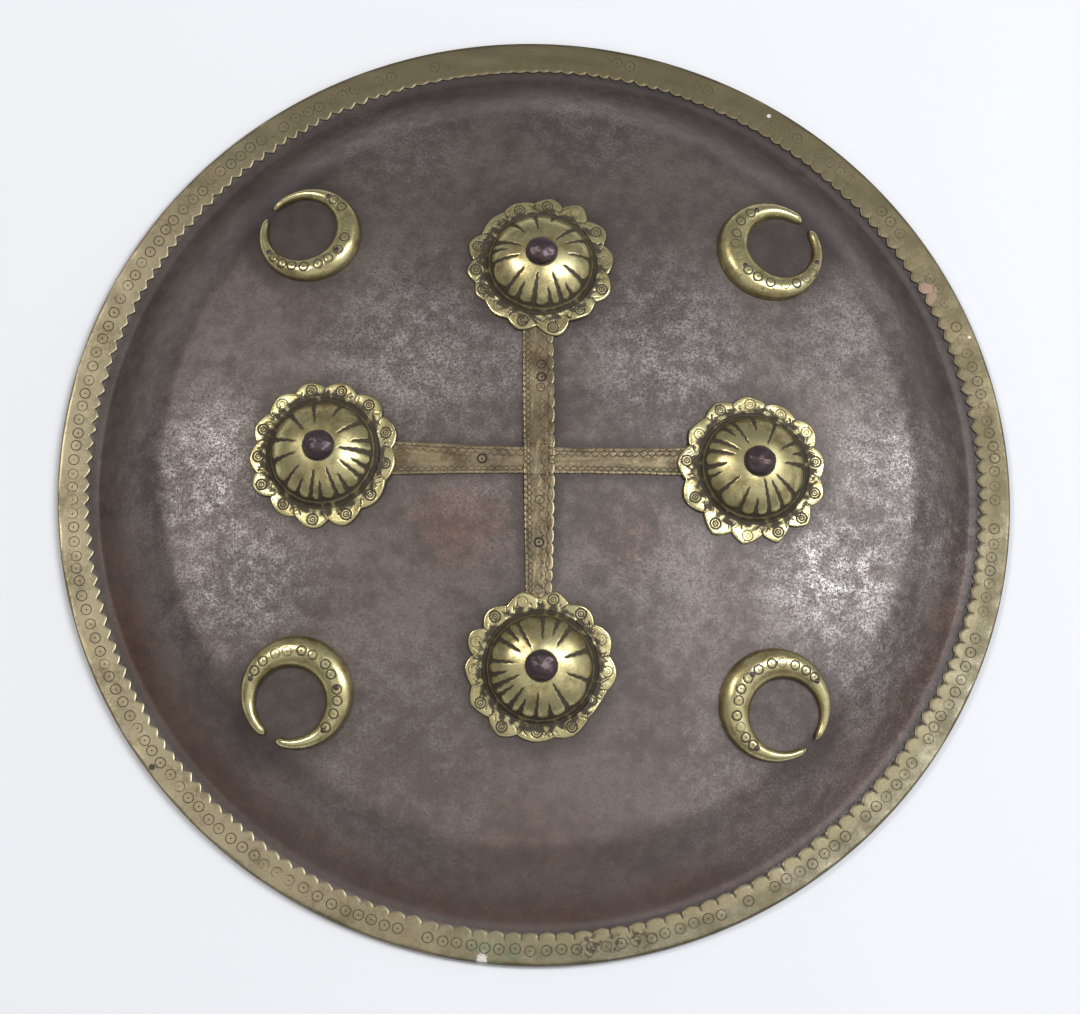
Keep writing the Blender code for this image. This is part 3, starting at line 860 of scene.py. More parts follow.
def make_crescent(name, settings):
    place, hole, outer, shift, shift_way, mouth, pins, (first, last, count) = crescent_row(name)
    seed = 80 + 5 * list(CRESCENTS).index(name)
    nominal = 10 * MM
    sweep = 360 - 2 * MOUTH_HALF_ANGLE
    arc = []
    for a in steps(0, math.pi, 34):
        arc.append((hole + nominal * (1 - math.cos(a)) / 2, nominal * math.sin(a)))
    base = [(hole + nominal * k, 0) for k in (0.75, 0.5, 0.25)]
    obj = swept("horn_" + name, arc + base + [arc[0]], 300, sweep)
    co = points_of(obj)
    t = (-np.degrees(np.arctan2(co[:, 1], co[:, 0]))) % 360
    t = np.where(t > 359.9, 0, t)
    angle = mouth - MOUTH_HALF_ANGLE - t
    width = outer_reach(angle, outer, shift, shift_way) - hole
    part = (np.hypot(co[:, 0], co[:, 1]) - hole) / nominal
    tall = co[:, 2] / nominal
    height = CRESCENT_LOW + CRESCENT_RISE * width
    from_end = np.minimum(t, sweep - t) * math.pi / 180 * (hole + width / 2)
    blunt = 3.6 * MM
    taper = np.sqrt(np.clip(1 - (1 - np.clip(from_end / blunt, 0.02, 1)) ** 2, 0.03, 1))
    part = 0.5 + (part - 0.5) * taper
    full = np.clip(tall, 0, 1) ** 0.95
    r = hole + width * part
    u, v = r * np.cos(np.radians(angle)), r * np.sin(np.radians(angle))
    lift = GAP + height * full * taper
    rng = np.random.default_rng(seed)
    rings = []
    for way in steps(first, last, count):
        way += rng.uniform(-2.2, 2.2)
        wide = outer_reach(way, outer, shift, shift_way) - hole
        ring_u, ring_v = polar(hole + wide * (0.5 + rng.uniform(-0.03, 0.03)) + 0.1 * MM, way)
        strength = rng.choice((1.0, 1.0, 0.85, 0.6))
        rings.append((ring_u, ring_v, 0.44 * settings.punch_size, strength))
    sunk, dirt = punched(u, v, rings, 0.7 * settings.chase_depth)
    for way in pins:
        wide = outer_reach(way, outer, shift, shift_way) - hole
        pin_u, pin_v = polar(hole + wide / 2, way)
        dirt = np.maximum(dirt, hump(np.hypot(u - pin_u, v - pin_v), 1.25 * MM))
    lift = lift + 0.10 * MM * ripple(np.stack([u, v, 0 * u], 1), 0.012, seed + 1) * full
    lift = lift - sunk * (tall > 0.05)
    move_points(obj, np.stack([u, v, lift + fall(place, u, v)], 1))
    # Painted shade on the crescent's lower sides towards its foot.
    foot = 0.6 * (1 - between(0.0, 0.14, full))
    paint(obj, "dirt", np.maximum(dirt * (tall > 0.05), 0.9 * foot))
    paint(obj, "wear_and_sheen", 0.5 * between(0.86, 1.0, full))
    close_up(obj)
    place_piece(obj, place)
    return obj


def make_pin(name, number):
    """A small iron pin through a crescent and the bowl."""
    place, hole, outer, shift, shift_way, _, pins, _ = crescent_row(name)
    way = pins[number - 1]
    width = outer_reach(way, outer, shift, shift_way) - hole
    u, v = polar(hole + width / 2, way)
    spot = place @ Vector((u, v, 0.0))
    top = GAP + CRESCENT_LOW + CRESCENT_RISE * width + 0.2 * MM
    foot = -STEEL - 0.8 * MM
    line = [(0.15 * MM, top), (0.55 * MM, top - 0.04 * MM), (PIN_RADIUS, top - 0.28 * MM)]
    line += [(PIN_RADIUS, foot + 0.2 * MM), (0.8 * PIN_RADIUS, foot), (POLE, foot)]
    obj = turned(f"nail_{name}_{number}", line, 16, domed=True)
    place_piece(obj, seat((spot.x, spot.y)))
    return obj


# ---------------------------------------------------------------- finishes


class Value:
    """A shader number: sums written with it add Math nodes to its finish."""

    def __init__(self, finish, socket):
        self.finish = finish
        self.socket = socket

    def sum_up(self, operation, *terms):
        sockets = [t.socket if isinstance(t, Value) else t for t in terms]
        node = self.finish.node("ShaderNodeMath", {"operation": operation}, dict(enumerate(sockets)))
        return Value(self.finish, node.outputs[0])

    def __add__(self, other):
        return self.sum_up("ADD", self, other)

    __radd__ = __add__

    def __sub__(self, other):
        return self.sum_up("SUBTRACT", self, other)

    def __rsub__(self, other):
        return self.sum_up("SUBTRACT", other, self)

    def __mul__(self, other):
        return self.sum_up("MULTIPLY", self, other)

    __rmul__ = __mul__

    def __pow__(self, other):
        return self.sum_up("POWER", self, other)

    def __abs__(self):
        return self.sum_up("ABSOLUTE", self)

    def most(self, other):
        return self.sum_up("MAXIMUM", self, other)

    def rise(self, low, high):
        """0 below low and 1 above high, smooth in between; low may be the greater."""
        node = self.finish.node(
            "ShaderNodeMapRange",
            {"interpolation_type": "SMOOTHSTEP"},
            {"Value": self.socket, "From Min": low, "From Max": high},
        )
        return Value(self.finish, node.outputs[0])


class Finish:
    """One material's nodes, laid on Object coordinates."""

    def __init__(self, name):
        self.material = bpy.data.materials.new(name)
        self.material.use_nodes = True
        self.tree = self.material.node_tree
        self.shader = self.tree.nodes["Principled BSDF"]
        self.place = self.node("ShaderNodeTexCoord").outputs["Object"]
        split = self.node("ShaderNodeSeparateXYZ", {}, {"Vector": self.place})
        self.x, self.y = (Value(self, split.outputs[axis]) for axis in "XY")

    def node(self, kind, settings=None, inputs=None):
        made = self.tree.nodes.new(kind)
        for key, value in (settings or {}).items():
            setattr(made, key, value)
        for key, value in (inputs or {}).items():
            self.feed(made.inputs[key], value)
        return made

    def feed(self, socket, value):
        if isinstance(value, Value):
            value = value.socket
        if isinstance(value, bpy.types.NodeSocket):
            self.tree.links.new(value, socket)
        elif socket.type == "RGBA":
            socket.default_value = (*value, 1.0)
        else:
            socket.default_value = value

    def noise(self, size, detail=3.0, roughness=0.6, shift=0.0):
        """Cloudy noise whose lumps are about size metres across."""
        where = self.place
        if shift:
            offset = {0: where, 1: (shift, -shift, 0.5 * shift)}
            where = self.node("ShaderNodeVectorMath", {"operation": "ADD"}, offset).outputs[0]
        inputs = {"Vector": where, "Scale": 1 / size, "Detail": detail, "Roughness": roughness}
        return Value(self, self.node("ShaderNodeTexNoise", {}, inputs).outputs[0])

    def painted(self, name):
        """A value kept at the mesh's points."""
        return Value(self, self.node("ShaderNodeAttribute", {"attribute_name": name}).outputs["Fac"])

    def distance(self, across, up):
        return (across * across + up * up) ** 0.5

    def patch(self, x, y, reach, soft=0.5):
        """1 at (x, y), in millimetres, falling to 0 at the reach."""
        away = self.distance(self.x - x * MM, self.y - y * MM)
        return away.rise(reach * MM, reach * MM * (1 - soft))

    def patches(self, spots):
        """The strongest of several patches; each spot is (x, y, reach, strength)."""
        total = 0.0
        for x, y, reach, strength in spots:
            total = (self.patch(x, y, reach, 0.9) * strength).most(total)
        return total

    def mix(self, amount, first, second):
        """A colour between the first and the second."""
        node = self.node("ShaderNodeMix", {"data_type": "RGBA"})
        self.feed(node.inputs[0], amount)
        self.feed(node.inputs[6], first)
        self.feed(node.inputs[7], second)
        return node.outputs[2]

    def bump(self, height, size, strength=1.0):
        """A normal from a height whose full swing is size metres."""
        inputs = {"Height": height, "Distance": size, "Strength": strength}
        return self.node("ShaderNodeBump", {}, inputs).outputs[0]

    def coat(self, **inputs):
        """Sets or links the shader's sockets."""
        for key, value in inputs.items():
            self.feed(self.shader.inputs[key.replace("_", " ")], value)
        return self.material


# Where the steel is worn bright, and where bright patches are painted sheen for light it catches: x, y, reach
# in millimetres, strength
BARE_AND_SHEEN = (
    (-47, 45, 54, 1.0), (-18, 38, 34, 0.7), (48, 50, 50, 1.0), (66, 22, 34, 0.4),
    (116, -40, 44, 1.0), (142, 8, 44, 0.75), (-124, -6, 48, 0.95), (-114, -48, 42, 0.9),
    (-20, -8, 44, 0.25), (20, 150, 40, 0.4), (-60, 140, 46, 0.35), (132, -76, 60, 0.75),
    (98, -122, 60, 0.5), (55, -40, 60, 0.15), (120, 60, 50, 0.5), (-60, -110, 70, 0.25),
    (96, -95, 20, 0.6), (160, -20, 36, 1.0),
)
# Where it is reddened
RUST = (
    (126, -99, 46, 0.6), (-30, -24, 44, 0.7), (3, -160, 90, 0.6),
    (-150, 60, 30, 0.35), (-158, -40, 30, 0.5), (-105, -120, 50, 0.4), (90, -140, 50, 0.6),
    (35, -30, 40, 0.5),
)
# Painted shade with dirt round the fittings: its full reach from their centres, and how far it fades
BOSS_SHADE = 26 * MM
CRESCENT_SHADE = 19 * MM
SHADE_FADE = 12 * MM


def steel_finish(look):
    """Browned steel: a dark brown skin, worn to bright specks in patches and painted with sheen in some of
    them, reddened in others, with painted shade round the fittings, beside the straps and at the foot,
    painted darker at the top and paler at the bottom.
    """
    f = Finish("browned steel")
    radius = f.distance(f.x, f.y)
    cloud = f.noise(34 * MM, 4, 0.6)
    mottle = f.noise(6 * MM, 4, 0.65, 0.3)
    fine = f.noise(1.1 * MM, 3, 0.7, 0.7)
    grit = f.noise(0.55 * MM, 2, 0.6, 1.1)
    bare_and_sheen = f.patches(BARE_AND_SHEEN)
    skirt = radius.rise(148 * MM, 170 * MM) * radius.rise(177 * MM, 174 * MM)
    red = f.patches(RUST).most(skirt * f.y.rise(80 * MM, -60 * MM) * 0.75)
    # Painted shade with dirt beside the straps, round the fittings and in a ring at the bowl's foot by the
    # border.
    arm = radius.rise(62 * MM, 56 * MM)
    shade = (abs(f.x).rise(11 * MM, 5 * MM) * arm).most(abs(f.y).rise(11 * MM, 5 * MM) * arm)
    fittings = [(x, y, BOSS_SHADE) for (x, y), *_ in BOSSES.values()]
    fittings += [(x * MM, y * MM, CRESCENT_SHADE) for (x, y), *_ in CRESCENTS.values()]
    for x, y, reach in fittings:
        shade = shade.most(f.distance(f.x - x, f.y - y).rise(reach + SHADE_FADE, reach))
    shade = shade.most(radius.rise(171 * MM, 175 * MM) * radius.rise(178.5 * MM, 176.5 * MM))
    grain = (fine * 0.5 + grit * 0.5).rise(0.42, 0.62)
    broad = (mottle * 0.6 + cloud * 0.4).rise(0.40, 0.60)
    worn = (bare_and_sheen * look.speckle * 0.85 + 0.13) * (broad * 0.75 + 0.25) * grain * (1 - shade * 0.75)
    pits = (fine * 0.6 + grit * 0.4).rise(0.44, 0.32)
    skin = f.mix((cloud * 0.6 + mottle * 0.4).rise(0.36, 0.64), look.steel_dark_and_shade, look.steel)
    reddened = (red * 0.55 + mottle * 0.5 + fine * 0.3 - 0.22).rise(0.35, 0.75)
    skin = f.mix(reddened * 0.7, skin, look.rust)
    skin = f.mix(pits * 0.5, skin, look.steel_pit_and_shade)
    # Painted shade darkens the top of the bowl, and painted light makes its bottom paler.
    skin = f.mix(f.y.rise(40 * MM, 130 * MM) * 0.3, skin, look.steel_dark_and_shade)
    skin = f.mix(f.y.rise(-60 * MM, -140 * MM) * 0.25, skin, look.steel_painted_light)
    # Painted shade with dirt round the fittings, beside the straps and at the foot.
    skin = f.mix(shade * 0.5, skin, look.steel_pit_and_shade)
    # Painted shade in the strip under the border's teeth, darker on the right side.
    ledge = radius.rise(175.5 * MM, 177 * MM) * f.x.rise(-60 * MM, 60 * MM)
    skin = f.mix(ledge * 0.75, skin, look.steel_pit_and_shade)
    # Worn bright specks, brighter in patches that are painted sheen where the steel catches light.
    skin = f.mix(worn, skin, look.steel_worn_and_sheen)
    spot = (f.patch(132.5, -38, 7, 1.0) + mottle * 0.5 - 0.3).rise(0.2, 0.6)
    skin = f.mix(spot * 0.7, skin, look.steel_dark_and_shade)
    height = fine * 0.5 + grit * 0.3 + mottle * 0.5
    return f.coat(
        Base_Color=skin,
        Metallic=worn * 0.35 + 0.55,
        Roughness=pits * 0.12 + 0.46 - worn * 0.12 + cloud * 0.04,
        Normal=f.bump(height, 0.08 * MM, 0.7),
    )


def brass_finish(name, clean, dull, grime_and_shade, shine, tarnish, streak):
    """Brass that is clean where it is worn, duller in clouds, and dark where dirt lies and where shade is
    painted.
    """
    f = Finish(name)
    dirt, wear_and_sheen = f.painted("dirt"), f.painted("wear_and_sheen")
    cloud = f.noise(streak, 4, 0.6)
    mottle = f.noise(3 * MM, 3, 0.65, 0.4)
    fine = f.noise(0.7 * MM, 2, 0.7, 0.9)
    aged = (cloud * 0.5 + mottle * 0.35 + fine * 0.25 - wear_and_sheen * 0.22).rise(0.44, 0.66) * tarnish
    colour = f.mix(aged, clean, dull)
    browned = (f.noise(0.7 * streak, 4, 0.65, 1.7) * 0.8 + fine * 0.2).rise(0.46, 0.62) * (1 - wear_and_sheen)
    brown = tuple(0.55 * c * k for c, k in zip(dull, (1.1, 0.9, 0.8)))
    colour = f.mix(browned * 0.75 * tarnish, colour, brown)
    specks = f.noise(1.3 * MM, 2, 0.6, 2.3).rise(0.66, 0.74)
    colour = f.mix(specks * 0.55, colour, grime_and_shade)
    # Dirt, and the painted shade in gutters and under edges, darken the brass.
    dirt_and_shade = (dirt + fine * 0.3 - 0.15).rise(0.16, 0.62)
    colour = f.mix(dirt_and_shade * 0.95, colour, grime_and_shade)
    height = mottle * 0.5 + fine * 0.25
    return f.coat(
        Base_Color=colour,
        Metallic=1 - dirt_and_shade * 0.7,
        Roughness=aged * 0.16 + shine + dirt_and_shade * 0.35 - wear_and_sheen * 0.06,
        Normal=f.bump(height, 0.06 * MM, 0.7),
    )


def boss_finish(look):
    return brass_finish(
        "polished brass", look.brass_bright, look.brass_aged, look.grime_and_shade, 0.27, 0.75, 9 * MM
    )


def strap_finish(look):
    return brass_finish(
        "strap brass", look.strap, look.strap_aged, look.grime_and_shade, 0.42, 0.9, 12 * MM
    )


def border_finish(look):
    """Border brass, paler on the left, browner on top, with a few old spots and stains."""
    f = Finish("border brass")
    dirt, wear_and_sheen = f.painted("dirt"), f.painted("wear_and_sheen")
    cloud = f.noise(16 * MM, 4, 0.6)
    mottle = f.noise(3.5 * MM, 3, 0.65, 0.4)
    fine = f.noise(0.8 * MM, 3, 0.7, 0.9)
    pale = (0 - f.x).rise(-60 * MM, 180 * MM)
    grey = (f.x - f.y).rise(120 * MM, 260 * MM)
    aged = (cloud * 0.6 + mottle * 0.3 + fine * 0.3 - pale * 0.10 - wear_and_sheen * 0.3).rise(0.44, 0.68)
    colour = f.mix(pale, look.border, look.border_pale)
    colour = f.mix(f.y.rise(80 * MM, 165 * MM) * 0.6, colour, look.border_aged)
    colour = f.mix(grey * 0.5, colour, look.border_grey)
    colour = f.mix(aged * 0.75, colour, look.border_aged)
    radius = f.distance(f.x, f.y)
    leaf = radius.rise(184 * MM, 181 * MM) * grey
    colour = f.mix(leaf * (mottle * 1.2 + cloud * 0.6 - 0.4), colour, look.leaf)
    pink = (f.patch(156.5, 86, 9, 1.0) + mottle * 0.6 - 0.55).rise(0.05, 0.3)
    colour = f.mix(pink * 0.8, colour, look.copper)
    crust = f.patch(-18.2, -187.6, 5.2, 1.0).most(f.patch(93.3, 160.8, 1.2))
    crust = crust.most(f.patch(174.6, 68, 1.6, 1.0))
    white = (crust * 0.8 + mottle * 0.7 + fine * 0.9 - 0.8).rise(0.42, 0.62)
    stain = f.patch(-14, -186, 17, 0.9) * mottle.rise(0.42, 0.56)
    colour = f.mix(stain * 0.6, colour, look.verdigris)
    colour = f.mix(white, colour, look.chalk)
    lap = f.patch(24, -182, 7, 0.6).most(f.patch(33, -180.5, 5, 0.5))
    lap = lap.most(f.patch(42, -179, 6, 0.6)) * f.noise(2.2 * MM, 1, 0.5, 3.1).rise(0.50, 0.60)
    nail = f.patch(-148, -115.4, 1.6, 0.4)
    # Dirt, and the painted shade under the teeth and the fold, darken the border.
    dirt_and_shade = (dirt + fine * 0.3 - 0.15).rise(0.18, 0.72).most(lap * 0.75).most(nail)
    colour = f.mix(dirt_and_shade * 0.9, colour, look.grime_and_shade)
    return f.coat(
        Base_Color=colour,
        Metallic=0.92 - dirt_and_shade * 0.6 - white * 0.7 - stain * 0.3,
        Roughness=aged * 0.12 + 0.37 + dirt_and_shade * 0.3,
        Normal=f.bump(mottle * 0.6 + fine * 0.4, 0.10 * MM, 0.7),
    )


def punch_finish(look):
    """The dirt that lies in the border's punched rings."""
    f = Finish("punch dirt")
    fine = f.noise(0.8 * MM, 2)
    return f.coat(
        Base_Color=f.mix(fine.rise(0.3, 0.55), look.grime_and_shade, look.border_aged),
        Metallic=fine * 0.5,
        Roughness=0.62,
    )


def iron_finish(look):
    """Dark iron rivets with a purple-brown skin."""
    f = Finish("blackened iron")
    fine = f.noise(0.9 * MM, 3, 0.7)
    mottle = f.noise(2.6 * MM, 3, 0.6, 0.4)
    colour = f.mix((mottle * 0.6 + fine * 0.4).rise(0.4, 0.6), look.iron, look.iron_brown)
    return f.coat(
        Base_Color=colour,
        Metallic=0.75,
        Roughness=fine * 0.2 + 0.27,
        Normal=f.bump(mottle * 0.6 + fine * 0.4, 0.10 * MM, 0.8),
    )


def floor_finish(look):
    f = Finish("studio floor")
    cloud = f.noise(0.6, 2)
    colour = f.mix(cloud, look.floor, tuple(0.985 * c for c in look.floor))
    return f.coat(Base_Color=colour, Roughness=0.7)


def coated(name, maker, look):
    """The material of that name, made the first time it is asked for."""
    return bpy.data.materials.get(name) or maker(look)


# ---------------------------------------------------------------- settings


def length(title, about, default, most):
    return bpy.props.FloatProperty(
        name=title, description=about, default=default, min=0.0, max=most, precision=5,
        subtype="DISTANCE", unit="LENGTH",
    )


def colour(title, about, default):
    return bpy.props.FloatVectorProperty(
        name=title, description=about, default=default, min=0.0, max=1.0, size=3, subtype="COLOR"
    )


def turning(title, about, degrees):
    return bpy.props.FloatProperty(
        name=title, description=about, default=math.radians(degrees), min=-math.pi, max=math.pi,
        subtype="ANGLE", unit="ROTATION",
    )


def power(title, about, default):
    return bpy.props.FloatProperty(
        name=title, description=about, default=default, min=0.0, max=500.0, subtype="POWER", unit="POWER"
    )


def share(title, about, default):
    return bpy.props.FloatProperty(
        name=title, description=about, default=default, min=0.0, max=2.0, subtype="FACTOR"
    )


class DhalShape(bpy.types.PropertyGroup):
    """Sizes of the work done on the pieces."""

    beating: length("Beating", "Height of the hammer's waves on the bowl", 0.15 * MM, 0.6 * MM)
    chase_depth: length("Chasing depth", "Depth of the punched rings and chisel strokes", 0.18 * MM, 0.5 * MM)
    punch_size: length("Punch size", "Diameter of the ring punch", 4.1 * MM, 5 * MM)
    flute_depth: length("Flute depth", "Depth of the flutes on a boss at its foot", 0.55 * MM, 0.8 * MM)


class DhalLook(bpy.types.PropertyGroup):
    """Colours of the finishes."""

    steel: colour("Steel", "Browned steel where it is paler", (0.150, 0.118, 0.104))
    # Painted light: the paler steel low on the bowl.
    steel_painted_light: colour("Pale steel", "Browned steel low on the bowl", (0.235, 0.180, 0.160))
    # Also the colour of the painted shade on the top of the bowl.
    steel_dark_and_shade: colour("Dark steel", "Browned steel where it is darker", (0.090, 0.069, 0.062))
    # Also the colour of the painted shade round the fittings, at the foot and under the border's teeth.
    steel_pit_and_shade: colour("Pits", "Pits and the shadow of grime round the fittings", (0.034, 0.027, 0.025))
    # Worn bright steel, also the colour of the painted sheen patches.
    steel_worn_and_sheen: colour("Bare steel", "Steel worn bright", (0.43, 0.415, 0.40))
    rust: colour("Rust", "Reddened steel", (0.170, 0.078, 0.052))
    speckle: share("Speckle", "How far the steel is worn bright", 1.0)
    brass_bright: colour("Bright brass", "Polished brass of bosses and crescents", (0.66, 0.59, 0.31))
    brass_aged: colour("Aged brass", "Duller brass of bosses and crescents", (0.44, 0.37, 0.175))
    strap: colour("Strap", "Brass of the straps where it is worn", (0.27, 0.215, 0.130))
    strap_aged: colour("Aged strap", "Brass of the straps where it is dull", (0.170, 0.143, 0.092))
    border: colour("Border", "Brass of the border", (0.235, 0.195, 0.115))
    border_pale: colour("Pale border", "Brass of the border where it is worn pale", (0.41, 0.35, 0.225))
    border_grey: colour("Grey border", "Brass of the border where it is greyed", (0.25, 0.235, 0.18))
    border_aged: colour("Aged border", "Brass of the border where it is dull", (0.140, 0.114, 0.064))
    # Also the colour of the painted shade carried by the dirt layer in gutters, under edges and along the
    # teeth.
    grime_and_shade: colour("Grime", "Old dirt in every mark", (0.042, 0.030, 0.021))
    copper: colour("Copper", "Bare copper tone of a damaged tooth", (0.34, 0.235, 0.175))
    leaf: colour("Leaves", "Yellower teeth where the border is grey", (0.34, 0.285, 0.165))
    verdigris: colour("Verdigris", "Green stain on the border", (0.20, 0.25, 0.14))
    chalk: colour("Chalk", "Pale crust on the border", (0.74, 0.68, 0.63))
    iron: colour("Iron", "Dark iron of the rivets", (0.078, 0.060, 0.070))
    iron_brown: colour("Brown iron", "Browner iron of the rivets", (0.095, 0.062, 0.060))
    floor: colour("Floor", "Pale floor under the shield", (0.88, 0.885, 0.91))


class DhalStage(bpy.types.PropertyGroup):
    """Where the shield is looked at from, and its light."""

    tilt: turning("Tilt", "How far the camera leans from straight above", 14.88)
    turn: turning("Turn", "How far round the shield the camera stands", -6.98)
    roll: turning("Roll", "Turn of the camera about its own line of sight", 0.87)
    distance: length("Distance", "From the camera to the shield's middle", 1.5, 10.0)
    lens: bpy.props.FloatProperty(
        name="Lens", description="Focal length", default=125.17, min=20, max=400, subtype="DISTANCE_CAMERA"
    )
    key: power("Key light", "Strength of the light on the right", 19.0)
    fill: power("Fill light", "Strength of the light on the left", 8.6)
    front: power("Front light", "Strength of the broad light behind the camera", 5.0)
    surround: share("Surround", "Strength of the pale room", 0.31)


class DhalSettings(bpy.types.PropertyGroup):
    """All settings of the shield."""

    shape: bpy.props.PointerProperty(type=DhalShape, name="Shape", description="Sizes of the work")
    look: bpy.props.PointerProperty(type=DhalLook, name="Look", description="Colours of the finishes")
    stage: bpy.props.PointerProperty(type=DhalStage, name="Stage", description="Camera and light")


# ---------------------------------------------------------------- operators


class DHAL_OT_bowl(bpy.types.Operator):
    """Draws out the steel bowl and beats it"""

    bl_idname = "dhal.bowl"
    bl_label = "Bowl"
    bl_options = {"REGISTER", "UNDO"}

    def execute(self, context):
        kit = context.scene.dhal
        bowl = make_bowl(kit.shape)
        finish_piece(bowl, coated("browned steel", steel_finish, kit.look), "browned_steel", "bowl")
        return {"FINISHED"}


class DHAL_OT_border(bpy.types.Operator):
    """Folds the brass border over the rim, cuts its teeth and punches its rings"""

    bl_idname = "dhal.border"
    bl_label = "Border"
    bl_options = {"REGISTER", "UNDO"}

    def execute(self, context):
        kit = context.scene.dhal
        brass = coated("border brass", border_finish, kit.look)
        border = make_border(kit.shape, brass, coated("punch dirt", punch_finish, kit.look))
        finish_piece(border, brass, "border_brass", "rim_border")
        return {"FINISHED"}


class DHAL_OT_straps(bpy.types.Operator):
    """Lays the two straps of the cross"""

    bl_idname = "dhal.straps"
    bl_label = "Straps"
    bl_options = {"REGISTER", "UNDO"}

    def execute(self, context):
        kit = context.scene.dhal
        brass = coated("strap brass", strap_finish, kit.look)
        for name, (upright, edges, rings) in STRAPS.items():
            strap = make_strap("cross_strap_" + name, kit.shape, upright, edges, rings)
            finish_piece(strap, brass, "strap_brass", "strap_" + name)
        return {"FINISHED"}


class DHAL_OT_bosses(bpy.types.Operator):
    """Raises, flutes and punches the four petalled bosses"""

    bl_idname = "dhal.bosses"
    bl_label = "Bosses"
    bl_options = {"REGISTER", "UNDO"}

    def execute(self, context):
        kit = context.scene.dhal
        brass = coated("polished brass", boss_finish, kit.look)
        for name in BOSSES:
            finish_piece(make_boss(name, kit.shape), brass, "polished_brass", "boss_" + name)
        return {"FINISHED"}


class DHAL_OT_rivets(bpy.types.Operator):
    """Drives the iron rivets of the bosses"""

    bl_idname = "dhal.rivets"
    bl_label = "Boss rivets"
    bl_options = {"REGISTER", "UNDO"}

    def execute(self, context):
        kit = context.scene.dhal
        iron = coated("blackened iron", iron_finish, kit.look)
        for name in BOSSES:
            finish_piece(make_button(name), iron, "blackened_iron", "boss_rivet_" + name)
        return {"FINISHED"}


class DHAL_OT_crescents(bpy.types.Operator):
    """Casts the four crescents and punches their rings"""

    bl_idname = "dhal.crescents"
    bl_label = "Crescents"
    bl_options = {"REGISTER", "UNDO"}

    def execute(self, context):
        kit = context.scene.dhal
        brass = coated("polished brass", boss_finish, kit.look)
        for name in CRESCENTS:
            crescent = make_crescent(name, kit.shape)
            finish_piece(crescent, brass, "polished_brass", "crescent_" + name, angle=60)
        return {"FINISHED"}


class DHAL_OT_pins(bpy.types.Operator):
    """Drives the small pins of the crescents"""

    bl_idname = "dhal.pins"
    bl_label = "Crescent pins"
    bl_options = {"REGISTER", "UNDO"}

    def execute(self, context):
        kit = context.scene.dhal
        iron = coated("blackened iron", iron_finish, kit.look)
        for name in CRESCENTS:
            for number in (1, 2, 3):
                pin = make_pin(name, number)
                finish_piece(pin, iron, "blackened_iron", f"pin_{name}_{number}")
        return {"FINISHED"}


LIGHT_DISTANCE = 1.9
CAMERA_SHIFT = (0.0040, -0.0142)

# Lights: name, direction, width and height, the setting that powers it and its share, tint
LIGHTS = (
    ("side_light", (0.86, -0.12, 0.5), 1.6, 1.2, "key", 0.2, (0.90, 0.94, 1.0)),
    ("key_light", (0.49, 0.14, 0.86), 0.5, 1.1, "key", 1.0, (0.92, 0.96, 1.0)),
    ("fill_light", (-0.49, 0.22, 0.84), 0.4, 0.5, "fill", 1.0, (1.0, 0.97, 0.93)),
    ("front_light", (0.10, -0.45, 0.89), 2.6, 1.6, "front", 1.0, (1.0, 0.99, 0.97)),
)


def soft_light(name, direction, wide, tall, energy, tint):
    """A soft light off in the direction, aimed at the shield."""
    way = Vector(direction).normalized()
    facing = way.to_track_quat("Z", "Y").to_euler()
    bpy.ops.object.light_add(type="AREA", location=LIGHT_DISTANCE * way, rotation=facing)
    lamp = named(name)
    lamp.data.shape = "RECTANGLE"
    lamp.data.size = wide
    lamp.data.size_y = tall
    lamp.data.energy = energy
    lamp.data.color = tint


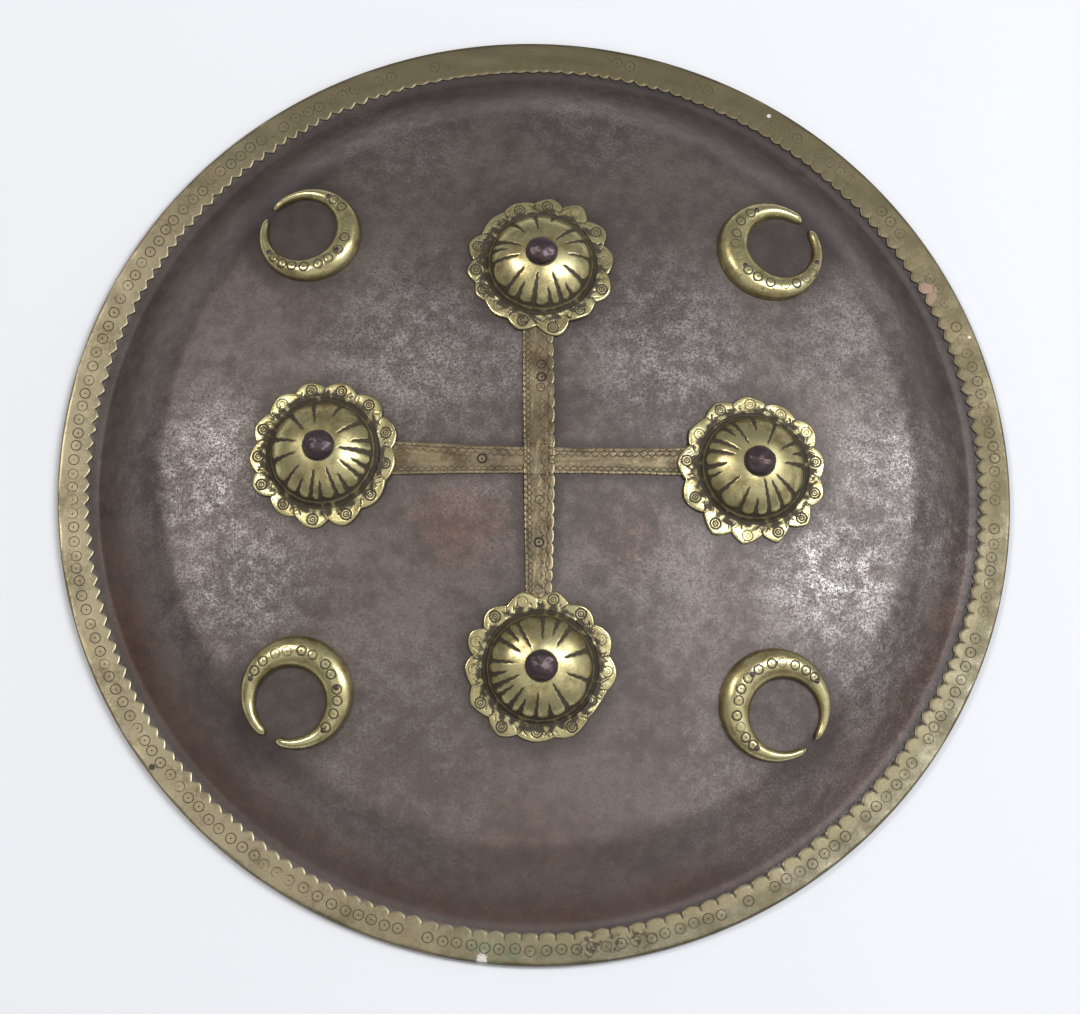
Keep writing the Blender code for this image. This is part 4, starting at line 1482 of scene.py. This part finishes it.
class DHAL_OT_stage(bpy.types.Operator):
    """Sets the pale floor, the soft lights and the camera"""

    bl_idname = "dhal.stage"
    bl_label = "Stage"
    bl_options = {"REGISTER", "UNDO"}

    def execute(self, context):
        kit = context.scene.dhal
        stage = kit.stage
        alone()
        bpy.ops.mesh.primitive_plane_add(size=6, location=(0, 0, -0.2 * MM))
        floor = named("studio_floor")
        bpy.ops.object.transform_apply(location=True)
        floor.data.materials.append(coated("studio floor", floor_finish, kit.look))

        for name, direction, wide, tall, setting, part, tint in LIGHTS:
            soft_light(name, direction, wide, tall, part * getattr(stage, setting), tint)
        world = bpy.data.worlds.new("pale room")
        world.use_nodes = True
        sky = world.node_tree.nodes["Background"]
        sky.inputs["Color"].default_value = (0.97, 0.98, 1.0, 1.0)
        sky.inputs["Strength"].default_value = stage.surround
        context.scene.world = world
        context.scene.view_settings.view_transform = "Standard"

        lean = math.sin(stage.tilt)
        back = Vector((math.sin(stage.turn) * lean, -math.cos(stage.turn) * lean, math.cos(stage.tilt)))
        across = Vector((0, 1, 0)).cross(back).normalized()
        axes = Matrix((across, back.cross(across), back)).transposed()
        bpy.ops.object.camera_add()
        camera = named("stage_camera")
        camera.matrix_world = (
            Matrix.Translation(stage.distance * back)
            @ axes.to_4x4()
            @ Matrix.Rotation(stage.roll, 4, "Z")
        )
        camera.data.sensor_width = 36
        camera.data.lens = stage.lens
        camera.data.shift_x, camera.data.shift_y = CAMERA_SHIFT
        camera.data.clip_start = 0.01
        context.scene.camera = camera
        return {"FINISHED"}


PIECES = (
    DHAL_OT_bowl, DHAL_OT_border, DHAL_OT_straps, DHAL_OT_bosses,
    DHAL_OT_rivets, DHAL_OT_crescents, DHAL_OT_pins, DHAL_OT_stage,
)


class DHAL_PT_panel(bpy.types.Panel):
    """Settings and pieces of the shield"""

    bl_idname = "DHAL_PT_panel"
    bl_label = "Dhal"
    bl_space_type = "VIEW_3D"
    bl_region_type = "UI"
    bl_category = "Dhal"

    def draw(self, context):
        kit = context.scene.dhal
        for group in (kit.shape, kit.look, kit.stage):
            column = self.layout.column(align=True)
            for prop in type(group).__annotations__:
                column.prop(group, prop)
        column = self.layout.column(align=True)
        for piece in PIECES:
            column.operator(piece.bl_idname)


CLASSES = (DhalShape, DhalLook, DhalStage, DhalSettings, *PIECES, DHAL_PT_panel)


def register():
    for kind in CLASSES:
        bpy.utils.register_class(kind)
    bpy.types.Scene.dhal = bpy.props.PointerProperty(type=DhalSettings)


def unregister():
    del bpy.types.Scene.dhal
    for kind in reversed(CLASSES):
        bpy.utils.unregister_class(kind)


def main():
    register()
    for piece in PIECES:
        group, action = piece.bl_idname.split(".")
        getattr(getattr(bpy.ops, group), action)()


if __name__ == "__main__":
    main()
